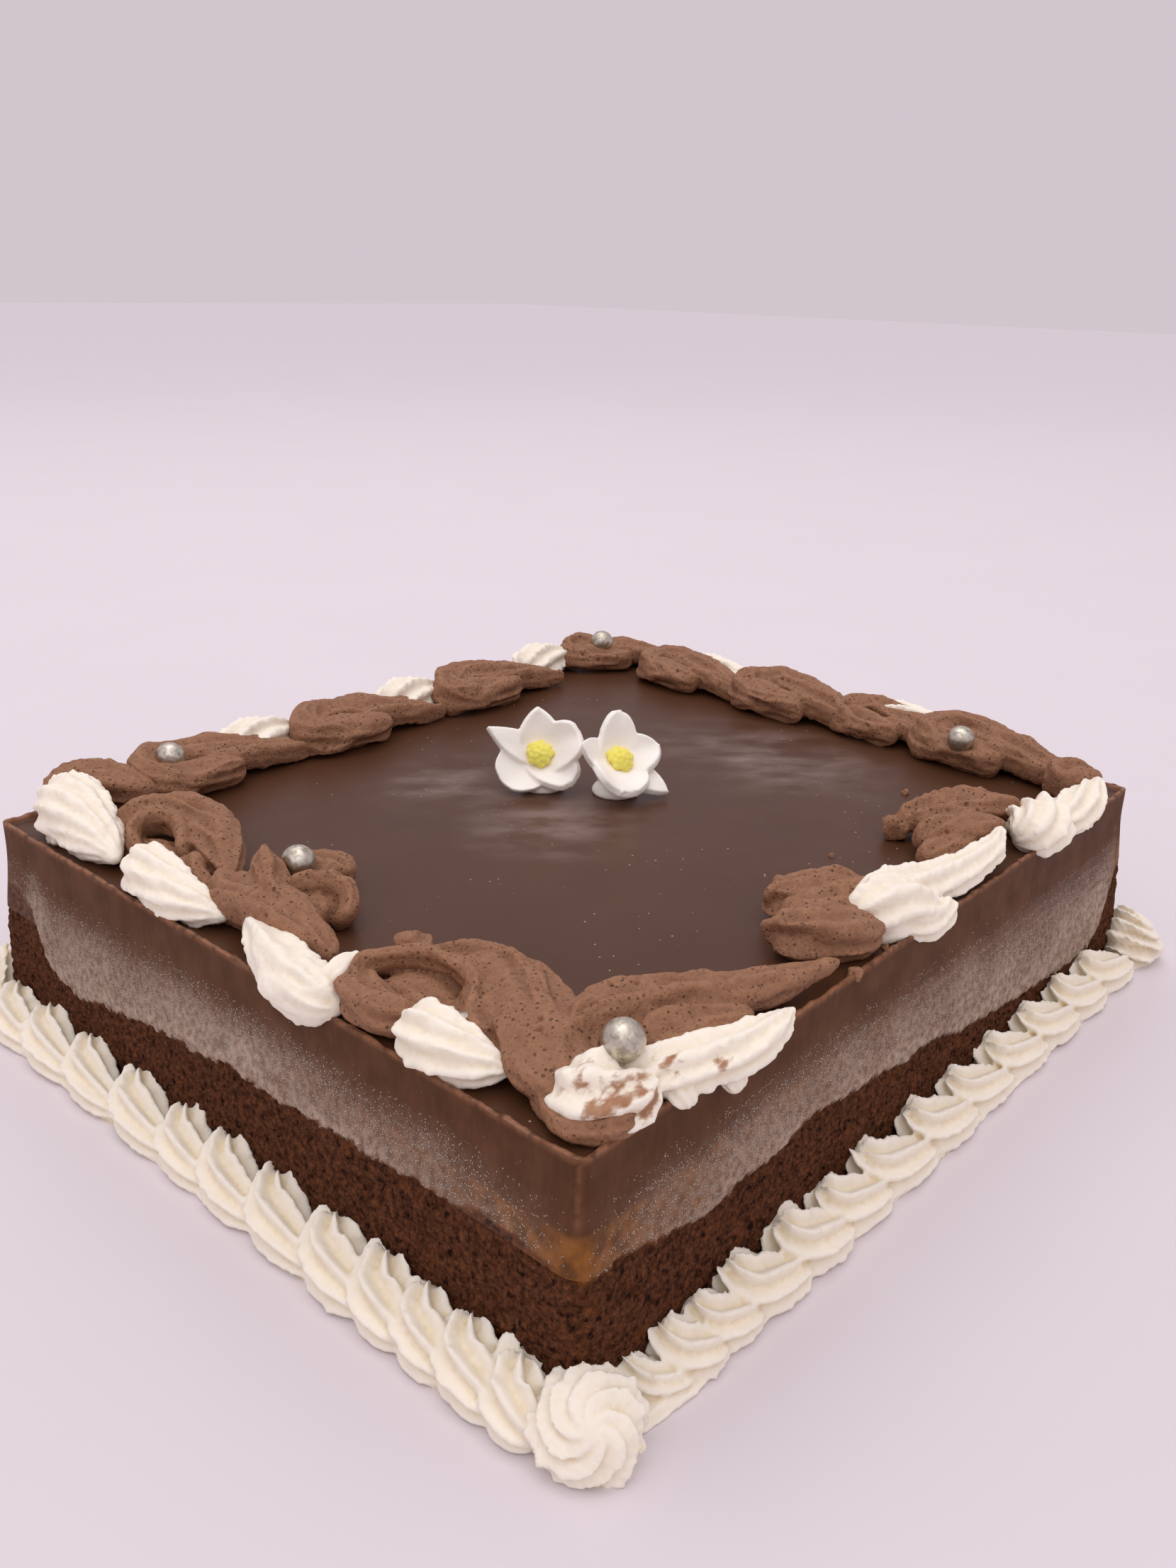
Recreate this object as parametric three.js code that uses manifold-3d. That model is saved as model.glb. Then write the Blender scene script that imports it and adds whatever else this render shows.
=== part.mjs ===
// A rectangular layered chocolate cake: dark sponge, amber fruit filling and a chocolate layer
// with a thin raised rim. A cream rope with a rosette at each corner runs round its foot.
// On top lie chocolate cream scrolls, cream shells, silver sugar pearls and two sugar flowers.
// Millimetres, +Z up. The origin is under the middle of the cake, +X along its long side.
import * as THREE from 'three';
import { mergeVertices } from 'three/addons/utils/BufferGeometryUtils.js';
import Module from 'manifold-3d';

const wasm = await Module();
wasm.setup();

// Cake layers. Length and width are the chocolate's; the softer layers under it stand out further.
const LENGTH = 235;
const WIDTH = 200;
const SPONGE_HEIGHT = 30;
const FILLING_HEIGHT = 8;
const CHOCOLATE_HEIGHT = 15;
const CAKE_HEIGHT = SPONGE_HEIGHT + FILLING_HEIGHT + CHOCOLATE_HEIGHT;
const CORNER_RADIUS = 2.5;
const CORNER_SEGMENTS = 2;
const SPONGE_OUT = 2.2;
const FOOT_OUT = 3.4;
const RIM_WIDTH = 1.6;
const RIM_HEIGHT = 1.2;

// Room left between two pieces where one is cut to fit the other
const CLEARANCE = 0.3;

// Cream rope round the foot: each turn climbs out of the wall, over the top and down to the foot
const ROPE_PITCH = 17.6;
const ROPE_HEIGHT = 12;
const ROPE_WIDTH_LONG = 15;
const ROPE_WIDTH_SHORT = 12;
const ROPE_RADIUS = 4.4;
const ROPE_AXIS_HEIGHT = 3.5;
const ROPE_SLANT = 9;
const ROPE_FROM = -60;
const ROPE_TO = 130;
const ROPE_STEPS = 4;
const ROPE_END_GAP = 2;

// Rosettes at the corners of the foot
const ROSETTE_RADIUS = 10.5;
const ROSETTE_HEIGHT = 15;
const ROSETTE_OUT = 4.2;

// Sugar pearls and flowers
const PEARL_RADIUS = 4;
const PEARL_SIDES = 8;
const PETAL_LENGTH = 14;
const PETAL_WIDTH = 6.6;
const PETAL_LIFT = 4.5;
const FLOWER_FOOT_RADIUS = 7;
const STAMEN_RADIUS = 3.6;
const STAMEN_SIDES = 8;
const STAMEN_FLATNESS = 0.7;
const STAMEN_LIFT = 2.2;

// Piping tubes: `ridges` of a share `depth` of the radius, turning by `twist` along the stroke.
// `flat` scales the section upwards, `blunt` squares off the ends and `rings` counts the sections.
const ROPE_TUBE = { ridges: 4, depth: 0.14, flat: 2, blunt: 3, rings: 4 };
const ROSETTE_TUBE = { ridges: 7, depth: 0.13, twist: 2, blunt: 3, rings: 4 };
const SHELL_TUBE = { ridges: 6, depth: 0.15, twist: 0.7, blunt: 3 };
const SCROLL_TUBE = { ridges: 4, depth: 0.1, twist: 1.2, blunt: 4 };
const PETAL_TUBE = { sides: 6, flat: 0.3, blunt: 3, rings: 4 };

const UP = new THREE.Vector3(0, 0, 1);
const ACROSS = new THREE.Vector3(1, 0, 0);
const WELD = 1e-4;

const MATERIALS = {
  sponge: new THREE.MeshStandardMaterial({ color: 0x3d2115, roughness: 0.95 }),
  filling: new THREE.MeshStandardMaterial({ color: 0x8a5a2a, roughness: 0.5 }),
  chocolate: new THREE.MeshStandardMaterial({ color: 0x4a2f25, roughness: 0.45 }),
  scroll: new THREE.MeshStandardMaterial({ color: 0x7a5340, roughness: 0.8 }),
  cream: new THREE.MeshStandardMaterial({ color: 0xf3eee2, roughness: 0.6 }),
  pearl: new THREE.MeshStandardMaterial({ color: 0xb9b2a4, roughness: 0.35, metalness: 0.9 }),
  flower: new THREE.MeshStandardMaterial({ color: 0xf2efee, roughness: 0.6 }),
  stamen: new THREE.MeshStandardMaterial({ color: 0xf0dc3c, roughness: 0.7 }),
};

const cake = new THREE.Group();

// Closed geometry to a solid that can be joined and cut, and back
function toSolid(geometry) {
  geometry.deleteAttribute('normal');
  geometry.deleteAttribute('uv');
  const merged = mergeVertices(geometry, WELD);
  const mesh = new wasm.Mesh({
    numProp: 3,
    vertProperties: Float32Array.from(merged.attributes.position.array),
    triVerts: Uint32Array.from(merged.index.array),
  });
  return new wasm.Manifold(mesh);
}

function toGeometry(solid) {
  const mesh = solid.getMesh();
  const geometry = new THREE.BufferGeometry();
  geometry.setAttribute('position', new THREE.BufferAttribute(Float32Array.from(mesh.vertProperties), 3));
  geometry.setIndex(new THREE.BufferAttribute(Uint32Array.from(mesh.triVerts), 1));
  geometry.computeVertexNormals();
  return geometry;
}

function addPiece(name, solid, material) {
  const mesh = new THREE.Mesh(toGeometry(solid), material);
  mesh.name = name;
  cake.add(mesh);
}

const join = (solids) => solids.reduce((whole, solid) => whole.add(solid));
const cut = (solid, tools) => tools.reduce((rest, tool) => rest.subtract(tool), solid);

// What cutting leaves loose is dropped: the largest body stays
function largest(solid) {
  return solid.decompose().reduce((best, body) => (body.volume() > best.volume() ? body : best));
}

// A block with round upright edges between two heights. Its walls stand out by `outBase` and `outTop`.
function block({ base, top, outBase = 0, outTop = 0 }) {
  const x = LENGTH / 2 - CORNER_RADIUS;
  const y = WIDTH / 2 - CORNER_RADIUS;
  const outline = new THREE.Shape();
  outline.absarc(x, y, CORNER_RADIUS, 0, Math.PI / 2);
  outline.absarc(-x, y, CORNER_RADIUS, Math.PI / 2, Math.PI);
  outline.absarc(-x, -y, CORNER_RADIUS, Math.PI, Math.PI * 1.5);
  outline.absarc(x, -y, CORNER_RADIUS, Math.PI * 1.5, Math.PI * 2);
  const solid = { depth: top - base, bevelEnabled: false, curveSegments: CORNER_SEGMENTS };
  const geometry = new THREE.ExtrudeGeometry(outline, solid);
  const { position } = geometry.attributes;
  for (let i = 0; i < position.count; i += 1) {
    const atTop = position.getZ(i) > 0;
    const out = atTop ? outTop : outBase;
    position.setX(i, position.getX(i) + out * Math.sign(position.getX(i)));
    position.setY(i, position.getY(i) + out * Math.sign(position.getY(i)));
    position.setZ(i, atTop ? top : base);
  }
  return toSolid(geometry);
}

// A piped stroke: a sphere drawn out along a curve through its stations, [x, y, z, radius] each
const PLAIN_TUBE = { ridges: 0, depth: 0, twist: 0, flat: 1, blunt: 3, sides: 8, up: UP, grow: 0 };

function stroke(stations, tube) {
  const { ridges, depth, twist, flat, blunt, sides, up, grow, rings } = { ...PLAIN_TUBE, ...tube };
  const path = new THREE.CatmullRomCurve3(stations.map(([x, y, z]) => new THREE.Vector3(x, y, z)));
  const swell = new THREE.CatmullRomCurve3(stations.map((s) => new THREE.Vector3(s[3], 0, 0)));
  const sections = rings ?? stations.length + 1;
  const geometry = new THREE.SphereGeometry(1, ridges ? ridges * 2 : sides, sections);
  const { position, uv } = geometry.attributes;
  for (let i = 0; i < position.count; i += 1) {
    const even = 1 - uv.getY(i);
    const t = (even + (1 - Math.cos(Math.PI * even)) / 2) / 2;
    const angle = uv.getX(i) * Math.PI * 2;
    const tangent = path.getTangent(t);
    const side = new THREE.Vector3().crossVectors(tangent, up).normalize();
    const lift = new THREE.Vector3().crossVectors(side, tangent).normalize();
    const star = 1 + depth * Math.cos(ridges * (angle - Math.PI / 2 - twist * t));
    const round = Math.sqrt(Math.max(0, 1 - Math.abs(2 * t - 1) ** blunt));
    const radius = swell.getPoint(t).x * star * round;
    const reach = round > 0 ? grow : 0;
    const point = path.getPoint(t);
    point.addScaledVector(side, (radius + reach) * Math.cos(angle));
    point.addScaledVector(lift, (radius * flat + reach) * Math.sin(angle));
    point.addScaledVector(tangent, grow * (2 * t - 1));
    position.setXYZ(i, point.x, point.y, point.z);
  }
  return toSolid(geometry);
}

// Stations of a curl: part of a ring round (x, y), climbing from z to zEnd, angles in degrees
const CURL_STEPS = 5;

function curl({ x, y, z, zEnd, ring, radius, from, to }) {
  return Array.from({ length: CURL_STEPS + 1 }, (_, i) => {
    const t = i / CURL_STEPS;
    const angle = THREE.MathUtils.degToRad(from + (to - from) * t);
    return [x + ring * Math.cos(angle), y + ring * Math.sin(angle), z + (zEnd - z) * t, radius];
  });
}

// Layers. The chocolate has a thin lip standing round a flat top.
const fillingBase = SPONGE_HEIGHT;
const chocolateBase = SPONGE_HEIGHT + FILLING_HEIGHT;

function spongeLayer(grow) {
  return block({ base: -grow, top: SPONGE_HEIGHT, outBase: FOOT_OUT + grow, outTop: SPONGE_OUT + grow });
}

function chocolateLayer(grow) {
  const outer = block({ base: chocolateBase, top: CAKE_HEIGHT + grow, outBase: grow, outTop: grow });
  const inside = -RIM_WIDTH - grow;
  const floor = CAKE_HEIGHT - RIM_HEIGHT + grow;
  return outer.subtract(block({ base: floor, top: CAKE_HEIGHT * 2, outBase: inside, outTop: inside }));
}

const filling = block({ base: fillingBase, top: chocolateBase, outBase: SPONGE_OUT });
addPiece('sponge', spongeLayer(0), MATERIALS.sponge);
addPiece('fruit_filling', filling, MATERIALS.filling);
addPiece('chocolate_layer', chocolateLayer(0), MATERIALS.chocolate);

const spongeRoom = spongeLayer(CLEARANCE);
const topRoom = chocolateLayer(CLEARANCE);
const underFoot = block({ base: -CAKE_HEIGHT, top: 0, outBase: CAKE_HEIGHT, outTop: CAKE_HEIGHT });

// Rosettes at the corners of the foot: domes whose ridges wind up to the middle
const CORNERS = {
  front_left: [-1, -1],
  front_right: [1, -1],
  back_right: [1, 1],
  back_left: [-1, 1],
};

function rosette([alongX, alongY], grow) {
  const x = alongX * (LENGTH / 2 + ROSETTE_OUT);
  const y = alongY * (WIDTH / 2 + ROSETTE_OUT);
  const stations = [
    [x, y, -ROSETTE_HEIGHT * 0.4, ROSETTE_RADIUS * 0.9],
    [x, y, 0, ROSETTE_RADIUS],
    [x, y, ROSETTE_HEIGHT * 0.5, ROSETTE_RADIUS * 0.95],
    [x, y, ROSETTE_HEIGHT, ROSETTE_RADIUS * 0.4],
  ];
  return stroke(stations, { ...ROSETTE_TUBE, up: ACROSS, grow });
}

const rosetteRooms = [];
for (const [corner, signs] of Object.entries(CORNERS)) {
  addPiece(`base_rosette_${corner}`, cut(rosette(signs, 0), [spongeRoom, underFoot]), MATERIALS.cream);
  rosetteRooms.push(rosette(signs, CLEARANCE));
}

// The rope along each wall, turn by turn. Seen from outside, each turn slants down to the right.
const WALLS = {
  front: { out: [0, -1], along: [1, 0], half: LENGTH / 2, away: WIDTH / 2, width: ROPE_WIDTH_LONG },
  right: { out: [1, 0], along: [0, 1], half: WIDTH / 2, away: LENGTH / 2, width: ROPE_WIDTH_SHORT },
  back: { out: [0, 1], along: [-1, 0], half: LENGTH / 2, away: WIDTH / 2, width: ROPE_WIDTH_LONG },
  left: { out: [-1, 0], along: [0, -1], half: WIDTH / 2, away: LENGTH / 2, width: ROPE_WIDTH_SHORT },
};

function ropeTurn({ out, along, away, width }, middle) {
  const reach = (width - ROPE_RADIUS) / 2;
  const rise = ROPE_HEIGHT - ROPE_RADIUS - ROPE_AXIS_HEIGHT;
  const stations = Array.from({ length: ROPE_STEPS + 1 }, (_, i) => {
    const degrees = ROPE_FROM + (ROPE_TO - ROPE_FROM) * (i / ROPE_STEPS);
    const angle = THREE.MathUtils.degToRad(degrees);
    const run = middle + ROPE_SLANT * (degrees / 180 - 0.25);
    const off = away + FOOT_OUT + reach * (1 + Math.sin(angle));
    const height = ROPE_AXIS_HEIGHT + rise * Math.cos(angle);
    return [along[0] * run + out[0] * off, along[1] * run + out[1] * off, height, ROPE_RADIUS];
  });
  return stroke(stations, { ...ROPE_TUBE, up: new THREE.Vector3(along[0], along[1], 0) });
}

for (const [wallName, wall] of Object.entries(WALLS)) {
  const span = 2 * (wall.half - ROPE_END_GAP);
  const turns = Math.round(span / ROPE_PITCH);
  const pitch = span / turns;
  const middles = Array.from({ length: turns }, (_, i) => -span / 2 + pitch * (i + 0.5));
  const rope = join(middles.map((middle) => ropeTurn(wall, middle)));
  const fitted = largest(cut(rope, [spongeRoom, underFoot, ...rosetteRooms]));
  addPiece(`base_rope_${wallName}`, fitted, MATERIALS.cream);
}

// Toppings. Their places are measured from the front left corner of the rim's top.
const toTop = ([x, y, z, radius]) => [x - LENGTH / 2, y - WIDTH / 2, z + CAKE_HEIGHT, radius];
const topStroke = (stations, options) => stroke(stations.map(toTop), options);

// Silver pearls: centres
const PEARLS = [
  [20, 8.5, 10.5],
  [27.5, 111, 8.5],
  [43.5, 189.5, 9],
  [219, 187.5, 9],
  [214, 43, 9],
  [11, 39, 4.5],
];

function pearl([x, y, z], radius) {
  const centre = toTop([x, y, z, 0]);
  const geometry = new THREE.SphereGeometry(radius, PEARL_SIDES, PEARL_SIDES / 2);
  return toSolid(geometry.rotateX(Math.PI / 2).translate(centre[0], centre[1], centre[2]));
}

PEARLS.forEach((place, i) => {
  addPiece(`silver_pearl_${i + 1}`, pearl(place, PEARL_RADIUS), MATERIALS.pearl);
});
const pearlRooms = PEARLS.map((place) => pearl(place, PEARL_RADIUS + CLEARANCE));

// Cream shells: each is one or more strokes from the fat head to the tail
const CREAM_SHELLS = {
  front_corner: [
    [[8, 15, 4, 6], [13, 10, 4.5, 7.5], [23, 5, 3, 6.2], [35, 2, 2.5, 5.3], [47, -1, 3, 4.5], [60, -1, 4, 3]],
  ],
  left_1: [[[4.5, 50, 3, 4.5], [6, 45, 3.5, 6.5], [5, 36, 3, 5.2], [5, 28, 2.5, 4.2], [7, 21, 2.5, 2.2]]],
  left_2: [
    [[3, 64, 2, 5.5], [3, 72, 3, 7.2], [6, 83, 3.5, 6], [9, 95, 3, 4], [12, 109, 2.5, 1.8]],
    [[7, 68, 4, 4], [13, 69, 5.5, 2.8], [18, 70, 6.5, 1.2]],
  ],
  left_3: [[[10, 149, 3.5, 5.5], [9, 141, 4, 7.2], [7, 127, 3.5, 6.5], [7, 110, 2.5, 3.5]]],
  left_corner: [[[13, 188, 4, 7], [11, 181, 5.5, 10], [8.5, 168, 5, 8.5], [8, 153, 3, 4]]],
  front_1: [
    [[94, 9, 3, 5.5], [104, 8, 4.5, 7.5], [117, 6, 4, 7], [135, 4, 3.5, 5.5], [152, 4, 4, 5], [171, 9, 5, 3]],
    [[98, 9, 3, 4], [101, 6, 3.5, 4.6], [105, 1, 3.5, 4.6], [109, -3.5, 3.5, 4]],
  ],
  right_corner: [[[176, 1, 2, 6.5], [183, 0, 2.5, 9], [193, 1.5, 3, 9], [203, 5, 2.5, 6.5]]],
  back_1: [[[64, 195, 3.5, 6], [74, 196, 4, 7], [92, 198, 3, 4]]],
  back_2: [[[122, 195, 3.5, 6], [132, 196, 4, 7], [150, 198, 3, 4]]],
  back_3: [[[184, 195, 3.5, 6], [194, 196, 4, 7], [211, 198, 3, 4]]],
  right_1: [[[232, 157, 3, 5], [232, 146, 3, 6.2], [233, 128, 2.5, 4]]],
  right_2: [[[232, 82, 3, 5], [232, 71, 3, 6.2], [233, 53, 2.5, 4]]],
};

function creamShell(strokes, grow) {
  return join(strokes.map((stations) => topStroke(stations, { ...SHELL_TUBE, grow })));
}

const creamRooms = [];
for (const [place, strokes] of Object.entries(CREAM_SHELLS)) {
  const fitted = largest(cut(creamShell(strokes, 0), [topRoom, ...pearlRooms, ...creamRooms]));
  addPiece(`cream_shell_${place}`, fitted, MATERIALS.cream);
  creamRooms.push(creamShell(strokes, CLEARANCE));
}

// Chocolate cream scrolls. A comma has a head that curls in from the edge, an ear inside it and a tail.
function comma(x, y, heading, size) {
  const turn = THREE.MathUtils.degToRad(heading);
  const place = ([run, inward, z, radius]) => [
    x + size * (run * Math.cos(turn) + inward * Math.sin(turn)),
    y + size * (run * Math.sin(turn) - inward * Math.cos(turn)),
    z * size,
    radius * size,
  ];
  const head = [[4, 14, 3.5, 4.5], [-7, 7, 4.5, 6], [0, -2, 6.5, 5.5]];
  const tail = [[20, 2, 4.5, 5.5], [41, 7, 3, 3]];
  const ear = [[-7, 8, 4, 6], [19, 11, 3.5, 5]];
  return [[...head, ...tail].map(place), ear.map(place)];
}

const SCROLLS = {
  left_1: [
    curl({ x: 13, y: 57, z: 3.5, zEnd: 8, ring: 8.5, radius: 5, from: 235, to: -55 }),
    [[14, 66, 3.5, 5], [21, 59, 4, 6.5], [23, 47, 4, 7], [20, 34, 4.5, 7.2], [14, 21, 4, 7], [8, 11, 2, 6]],
    [[9, 14, 2, 5], [7, 7, 2, 4.5], [13, 2.5, 2, 4], [24, -0.5, 2, 3]],
    [[20, 66, 3, 5.5], [27, 73, 2.5, 3.8]],
    [[27, 49, 3, 6.5], [35, 50, 2.5, 3.8]],
  ],
  front_1: [
    [[17, 16, 3, 5.5], [24, 22, 4.5, 6], [37, 19, 5, 6], [52, 11, 4.5, 5], [67, 6, 3.5, 3.6], [83, 3, 3, 2]],
    [[30, 13, 4, 4.5], [41, 10, 4, 4.5], [51, 7, 3, 3]],
  ],
  left_2: [
    [[11, 124, 2.5, 3.5], [13, 114, 3.5, 6], [14, 99, 3.5, 6.5], [13, 80, 2.5, 4]],
    [[15, 103, 4, 6], [18, 110, 7, 5], [23.5, 119, 13, 1.2]],
    curl({ x: 25, y: 101.5, z: 3.5, zEnd: 5, ring: 4.5, radius: 3.2, from: 215, to: -120 }),
    [[25, 104, 3, 5], [34, 111, 3, 6], [39, 110, 2.5, 4.5]],
  ],
  left_3: [
    [[14, 168, 3, 4.5], [22, 165, 4, 6], [28, 153, 4, 6.5], [25, 138, 3.5, 6], [18, 124, 2.5, 3.5]],
    curl({ x: 17.5, y: 154.5, z: 4.5, zEnd: 8, ring: 5.5, radius: 3, from: 200, to: -80 }),
  ],
  left_corner: [[[10, 195, 3, 5], [18, 195, 5, 6.5], [27, 189, 5, 6.5], [31, 179, 4, 5]]],
  front_2: [
    [[117, 20, 4, 5], [105, 24, 5, 6.5], [95, 21, 5, 7], [90, 13, 4, 7], [97, 5, 3.5, 6], [109, 3, 2.5, 4]],
    [[97, 14, 4.5, 6.5], [108, 13, 4.5, 6.5], [117, 13, 3.5, 5]],
    [[100, 26, 3, 4], [95, 29, 2.5, 3.8]],
  ],
  front_3: [
    [[190, 17, 3.5, 4.5], [178, 24, 5, 6], [163, 27, 5, 6], [155, 26, 4, 5.5], [149, 25, 2.5, 3.8]],
    [[156, 20, 3.5, 5.5], [171, 15, 4, 6], [186, 12, 3.5, 4.5]],
    [[143, 17, 1.5, 3], [152, 15, 2, 4], [162, 15, 2, 4]],
  ],
  back_1: comma(43, 194, 0, 1),
  back_2: comma(96, 194, 0, 1),
  back_3: comma(152, 194, 0, 1),
  back_corner: comma(219, 196, -40, 0.85),
  right_1: comma(228, 160, -90, 0.9),
  right_2: comma(228, 118, -90, 1),
  right_3: comma(229, 82, -90, 0.85),
  right_4: comma(228, 50, -90, 1),
  front_corner: [[[212, 13, 2.5, 5.5], [220, 11.5, 3.5, 6], [227, 6, 2, 4]]],
};

function scroll(strokes, grow) {
  return join(strokes.map((stations) => topStroke(stations, { ...SCROLL_TUBE, grow })));
}

const scrollRooms = [];
for (const [place, strokes] of Object.entries(SCROLLS)) {
  const tools = [topRoom, ...pearlRooms, ...creamRooms, ...scrollRooms];
  addPiece(`chocolate_scroll_${place}`, largest(cut(scroll(strokes, 0), tools)), MATERIALS.scroll);
  scrollRooms.push(scroll(strokes, CLEARANCE));
}

// Sugar flowers: five cupped petals on a short foot, leaning over. Petal angles are degrees round the middle.
const FLOWERS = {
  left: { x: 118.5, y: 122.5, z: 9.5, heading: 222, lean: 42, petals: [47, 112, 184, 248, 309] },
  right: { x: 130, y: 102.5, z: 9.5, heading: 252, lean: 44, petals: [27, 87, 153, 224, 294] },
};

function flowerFrame({ x, y, z, heading, lean }) {
  const frame = new THREE.Matrix4().makeRotationZ(THREE.MathUtils.degToRad(heading));
  frame.multiply(new THREE.Matrix4().makeRotationY(THREE.MathUtils.degToRad(lean)));
  const centre = toTop([x, y, z, 0]);
  return frame.setPosition(centre[0], centre[1], centre[2]);
}

function petal(degrees, grow) {
  const angle = THREE.MathUtils.degToRad(degrees);
  const ray = (reach, height, radius) => [reach * Math.cos(angle), reach * Math.sin(angle), height, radius];
  const stations = [
    ray(-1, -2, PETAL_WIDTH * 0.5),
    ray(PETAL_LENGTH * 0.45, 0, PETAL_WIDTH),
    ray(PETAL_LENGTH * 0.75, PETAL_LIFT * 0.5, PETAL_WIDTH * 0.8),
    ray(PETAL_LENGTH, PETAL_LIFT, PETAL_WIDTH * 0.3),
  ];
  return stroke(stations, { ...PETAL_TUBE, grow });
}

function flower(spec, grow) {
  const petals = join(spec.petals.map((degrees) => petal(degrees, grow)));
  const head = petals.transform(flowerFrame(spec).toArray());
  const [x, y, z] = toTop([spec.x, spec.y, spec.z, 0]);
  const stations = [
    [x, y, CAKE_HEIGHT - FLOWER_FOOT_RADIUS, FLOWER_FOOT_RADIUS],
    [x, y, z, FLOWER_FOOT_RADIUS * 0.7],
  ];
  return head.add(stroke(stations, { up: ACROSS, grow }));
}

function stamens(spec, grow) {
  const geometry = new THREE.SphereGeometry(STAMEN_RADIUS + grow, STAMEN_SIDES, STAMEN_SIDES / 2);
  geometry.scale(1, 1, STAMEN_FLATNESS).translate(0, 0, STAMEN_LIFT);
  return toSolid(geometry.applyMatrix4(flowerFrame(spec)));
}

const flowerRooms = [];
for (const [place, spec] of Object.entries(FLOWERS)) {
  const centreRoom = stamens(spec, CLEARANCE);
  const fitted = largest(cut(flower(spec, 0), [topRoom, centreRoom, ...flowerRooms]));
  addPiece(`sugar_flower_${place}`, fitted, MATERIALS.flower);
  addPiece(`flower_centre_${place}`, stamens(spec, 0), MATERIALS.stamen);
  flowerRooms.push(flower(spec, CLEARANCE), centreRoom);
}

export default cake;
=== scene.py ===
# %% [markdown]
# # A layered chocolate cake
#
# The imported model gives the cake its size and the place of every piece. This lesson dresses it:
# each piece is modelled again with its real surface, and gets a finish made of shader nodes.
# The work goes from the foot of the cake up to the flowers. All modelling is in millimetres, as
# a baker would measure, and a piece is scaled to metres at the moment it is set down.

# %% The frame
import math

import bmesh
import bpy
import numpy as np
from mathutils import Matrix, Vector, noise


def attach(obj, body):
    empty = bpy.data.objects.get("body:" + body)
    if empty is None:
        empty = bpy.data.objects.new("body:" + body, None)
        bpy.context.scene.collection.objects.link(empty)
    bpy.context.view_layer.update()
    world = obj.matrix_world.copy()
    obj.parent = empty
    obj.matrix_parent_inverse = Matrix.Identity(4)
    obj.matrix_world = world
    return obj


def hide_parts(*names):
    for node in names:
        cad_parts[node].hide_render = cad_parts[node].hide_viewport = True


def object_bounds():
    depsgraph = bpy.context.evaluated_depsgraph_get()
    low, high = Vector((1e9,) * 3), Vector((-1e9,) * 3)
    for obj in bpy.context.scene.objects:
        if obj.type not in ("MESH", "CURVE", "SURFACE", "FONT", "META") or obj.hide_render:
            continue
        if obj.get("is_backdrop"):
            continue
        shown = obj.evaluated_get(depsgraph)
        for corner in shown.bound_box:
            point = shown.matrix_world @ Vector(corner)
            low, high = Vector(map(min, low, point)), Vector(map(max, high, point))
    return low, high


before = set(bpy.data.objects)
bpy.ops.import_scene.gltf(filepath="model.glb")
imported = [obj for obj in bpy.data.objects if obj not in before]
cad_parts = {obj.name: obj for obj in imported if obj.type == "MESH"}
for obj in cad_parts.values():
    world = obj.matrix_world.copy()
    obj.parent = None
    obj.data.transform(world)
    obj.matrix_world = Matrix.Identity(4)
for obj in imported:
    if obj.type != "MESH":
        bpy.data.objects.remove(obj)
CAD_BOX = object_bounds()
MM = 0.001
scene = bpy.context.scene
print("nodes:", len(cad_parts))

# %% Sizes of the cake
LENGTH = 235
WIDTH = 200
SPONGE_HEIGHT = 30
FILLING_HEIGHT = 8
CHOCOLATE_HEIGHT = 15
CHOCOLATE_BASE = SPONGE_HEIGHT + FILLING_HEIGHT
CAKE_HEIGHT = CHOCOLATE_BASE + CHOCOLATE_HEIGHT
CORNER_RADIUS = 2.5
SPONGE_OUT = 2.2
FOOT_OUT = 3.4
RIM_HEIGHT = 1.2
TOP = CAKE_HEIGHT - RIM_HEIGHT
print("cake:", LENGTH, "x", WIDTH, "x", CAKE_HEIGHT, "mm")

# %% [markdown]
# ## Camera, floor and light
#
# The camera stands where the photograph was taken from: above the front corner, looking down at
# both near walls. The light is soft: a wide sky, a large lamp overhead, and an even pale
# surrounding that fills the shadows.

# %% Camera
EYE = (-0.2483, -0.2139, 0.1867)
EYE_TURN = (68.64, -1.38, -48.25)
LENS = 29.95

lens = bpy.data.cameras.new("camera")
lens.lens = LENS
lens.sensor_width = 36
lens.clip_start = 0.01
camera = bpy.data.objects.new("camera", lens)
camera.location = EYE
camera.rotation_euler = [math.radians(angle) for angle in EYE_TURN]
scene.collection.objects.link(camera)
scene.camera = camera
print("camera at", EYE)

# %% Light
SURROUND = (0.637, 0.565, 0.61, 1)
LAMPS = {
    "sky": {
        "kind": "SUN", "at": (-0.3, -0.25, 1.0), "power": 1.0, "width": {"angle": math.radians(80)},
    },
    "overhead": {
        "kind": "AREA", "at": (0.2, 0.5, 1.6), "power": 6, "width": {"size": 1.4},
    },
}

world = bpy.data.worlds.new("surround")
world.use_nodes = True
world.node_tree.nodes["Background"].inputs["Color"].default_value = SURROUND
scene.world = world
scene.view_settings.view_transform = "Standard"
for name, lamp in LAMPS.items():
    light = bpy.data.lights.new(name, lamp["kind"])
    light.energy = lamp["power"]
    for setting, value in lamp["width"].items():
        setattr(light, setting, value)
    holder = bpy.data.objects.new(name, light)
    holder.location = lamp["at"]
    holder.rotation_euler = (-Vector(lamp["at"])).to_track_quat("-Z", "Y").to_euler()
    scene.collection.objects.link(holder)
print("lamps:", list(LAMPS))

# %% [markdown]
# ## Shader maths
#
# A finish is a graph of nodes. Written out node by node it is hard to read, so one small class
# wraps a socket: Python's operators add Math nodes, and `add` puts in any other node.

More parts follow.
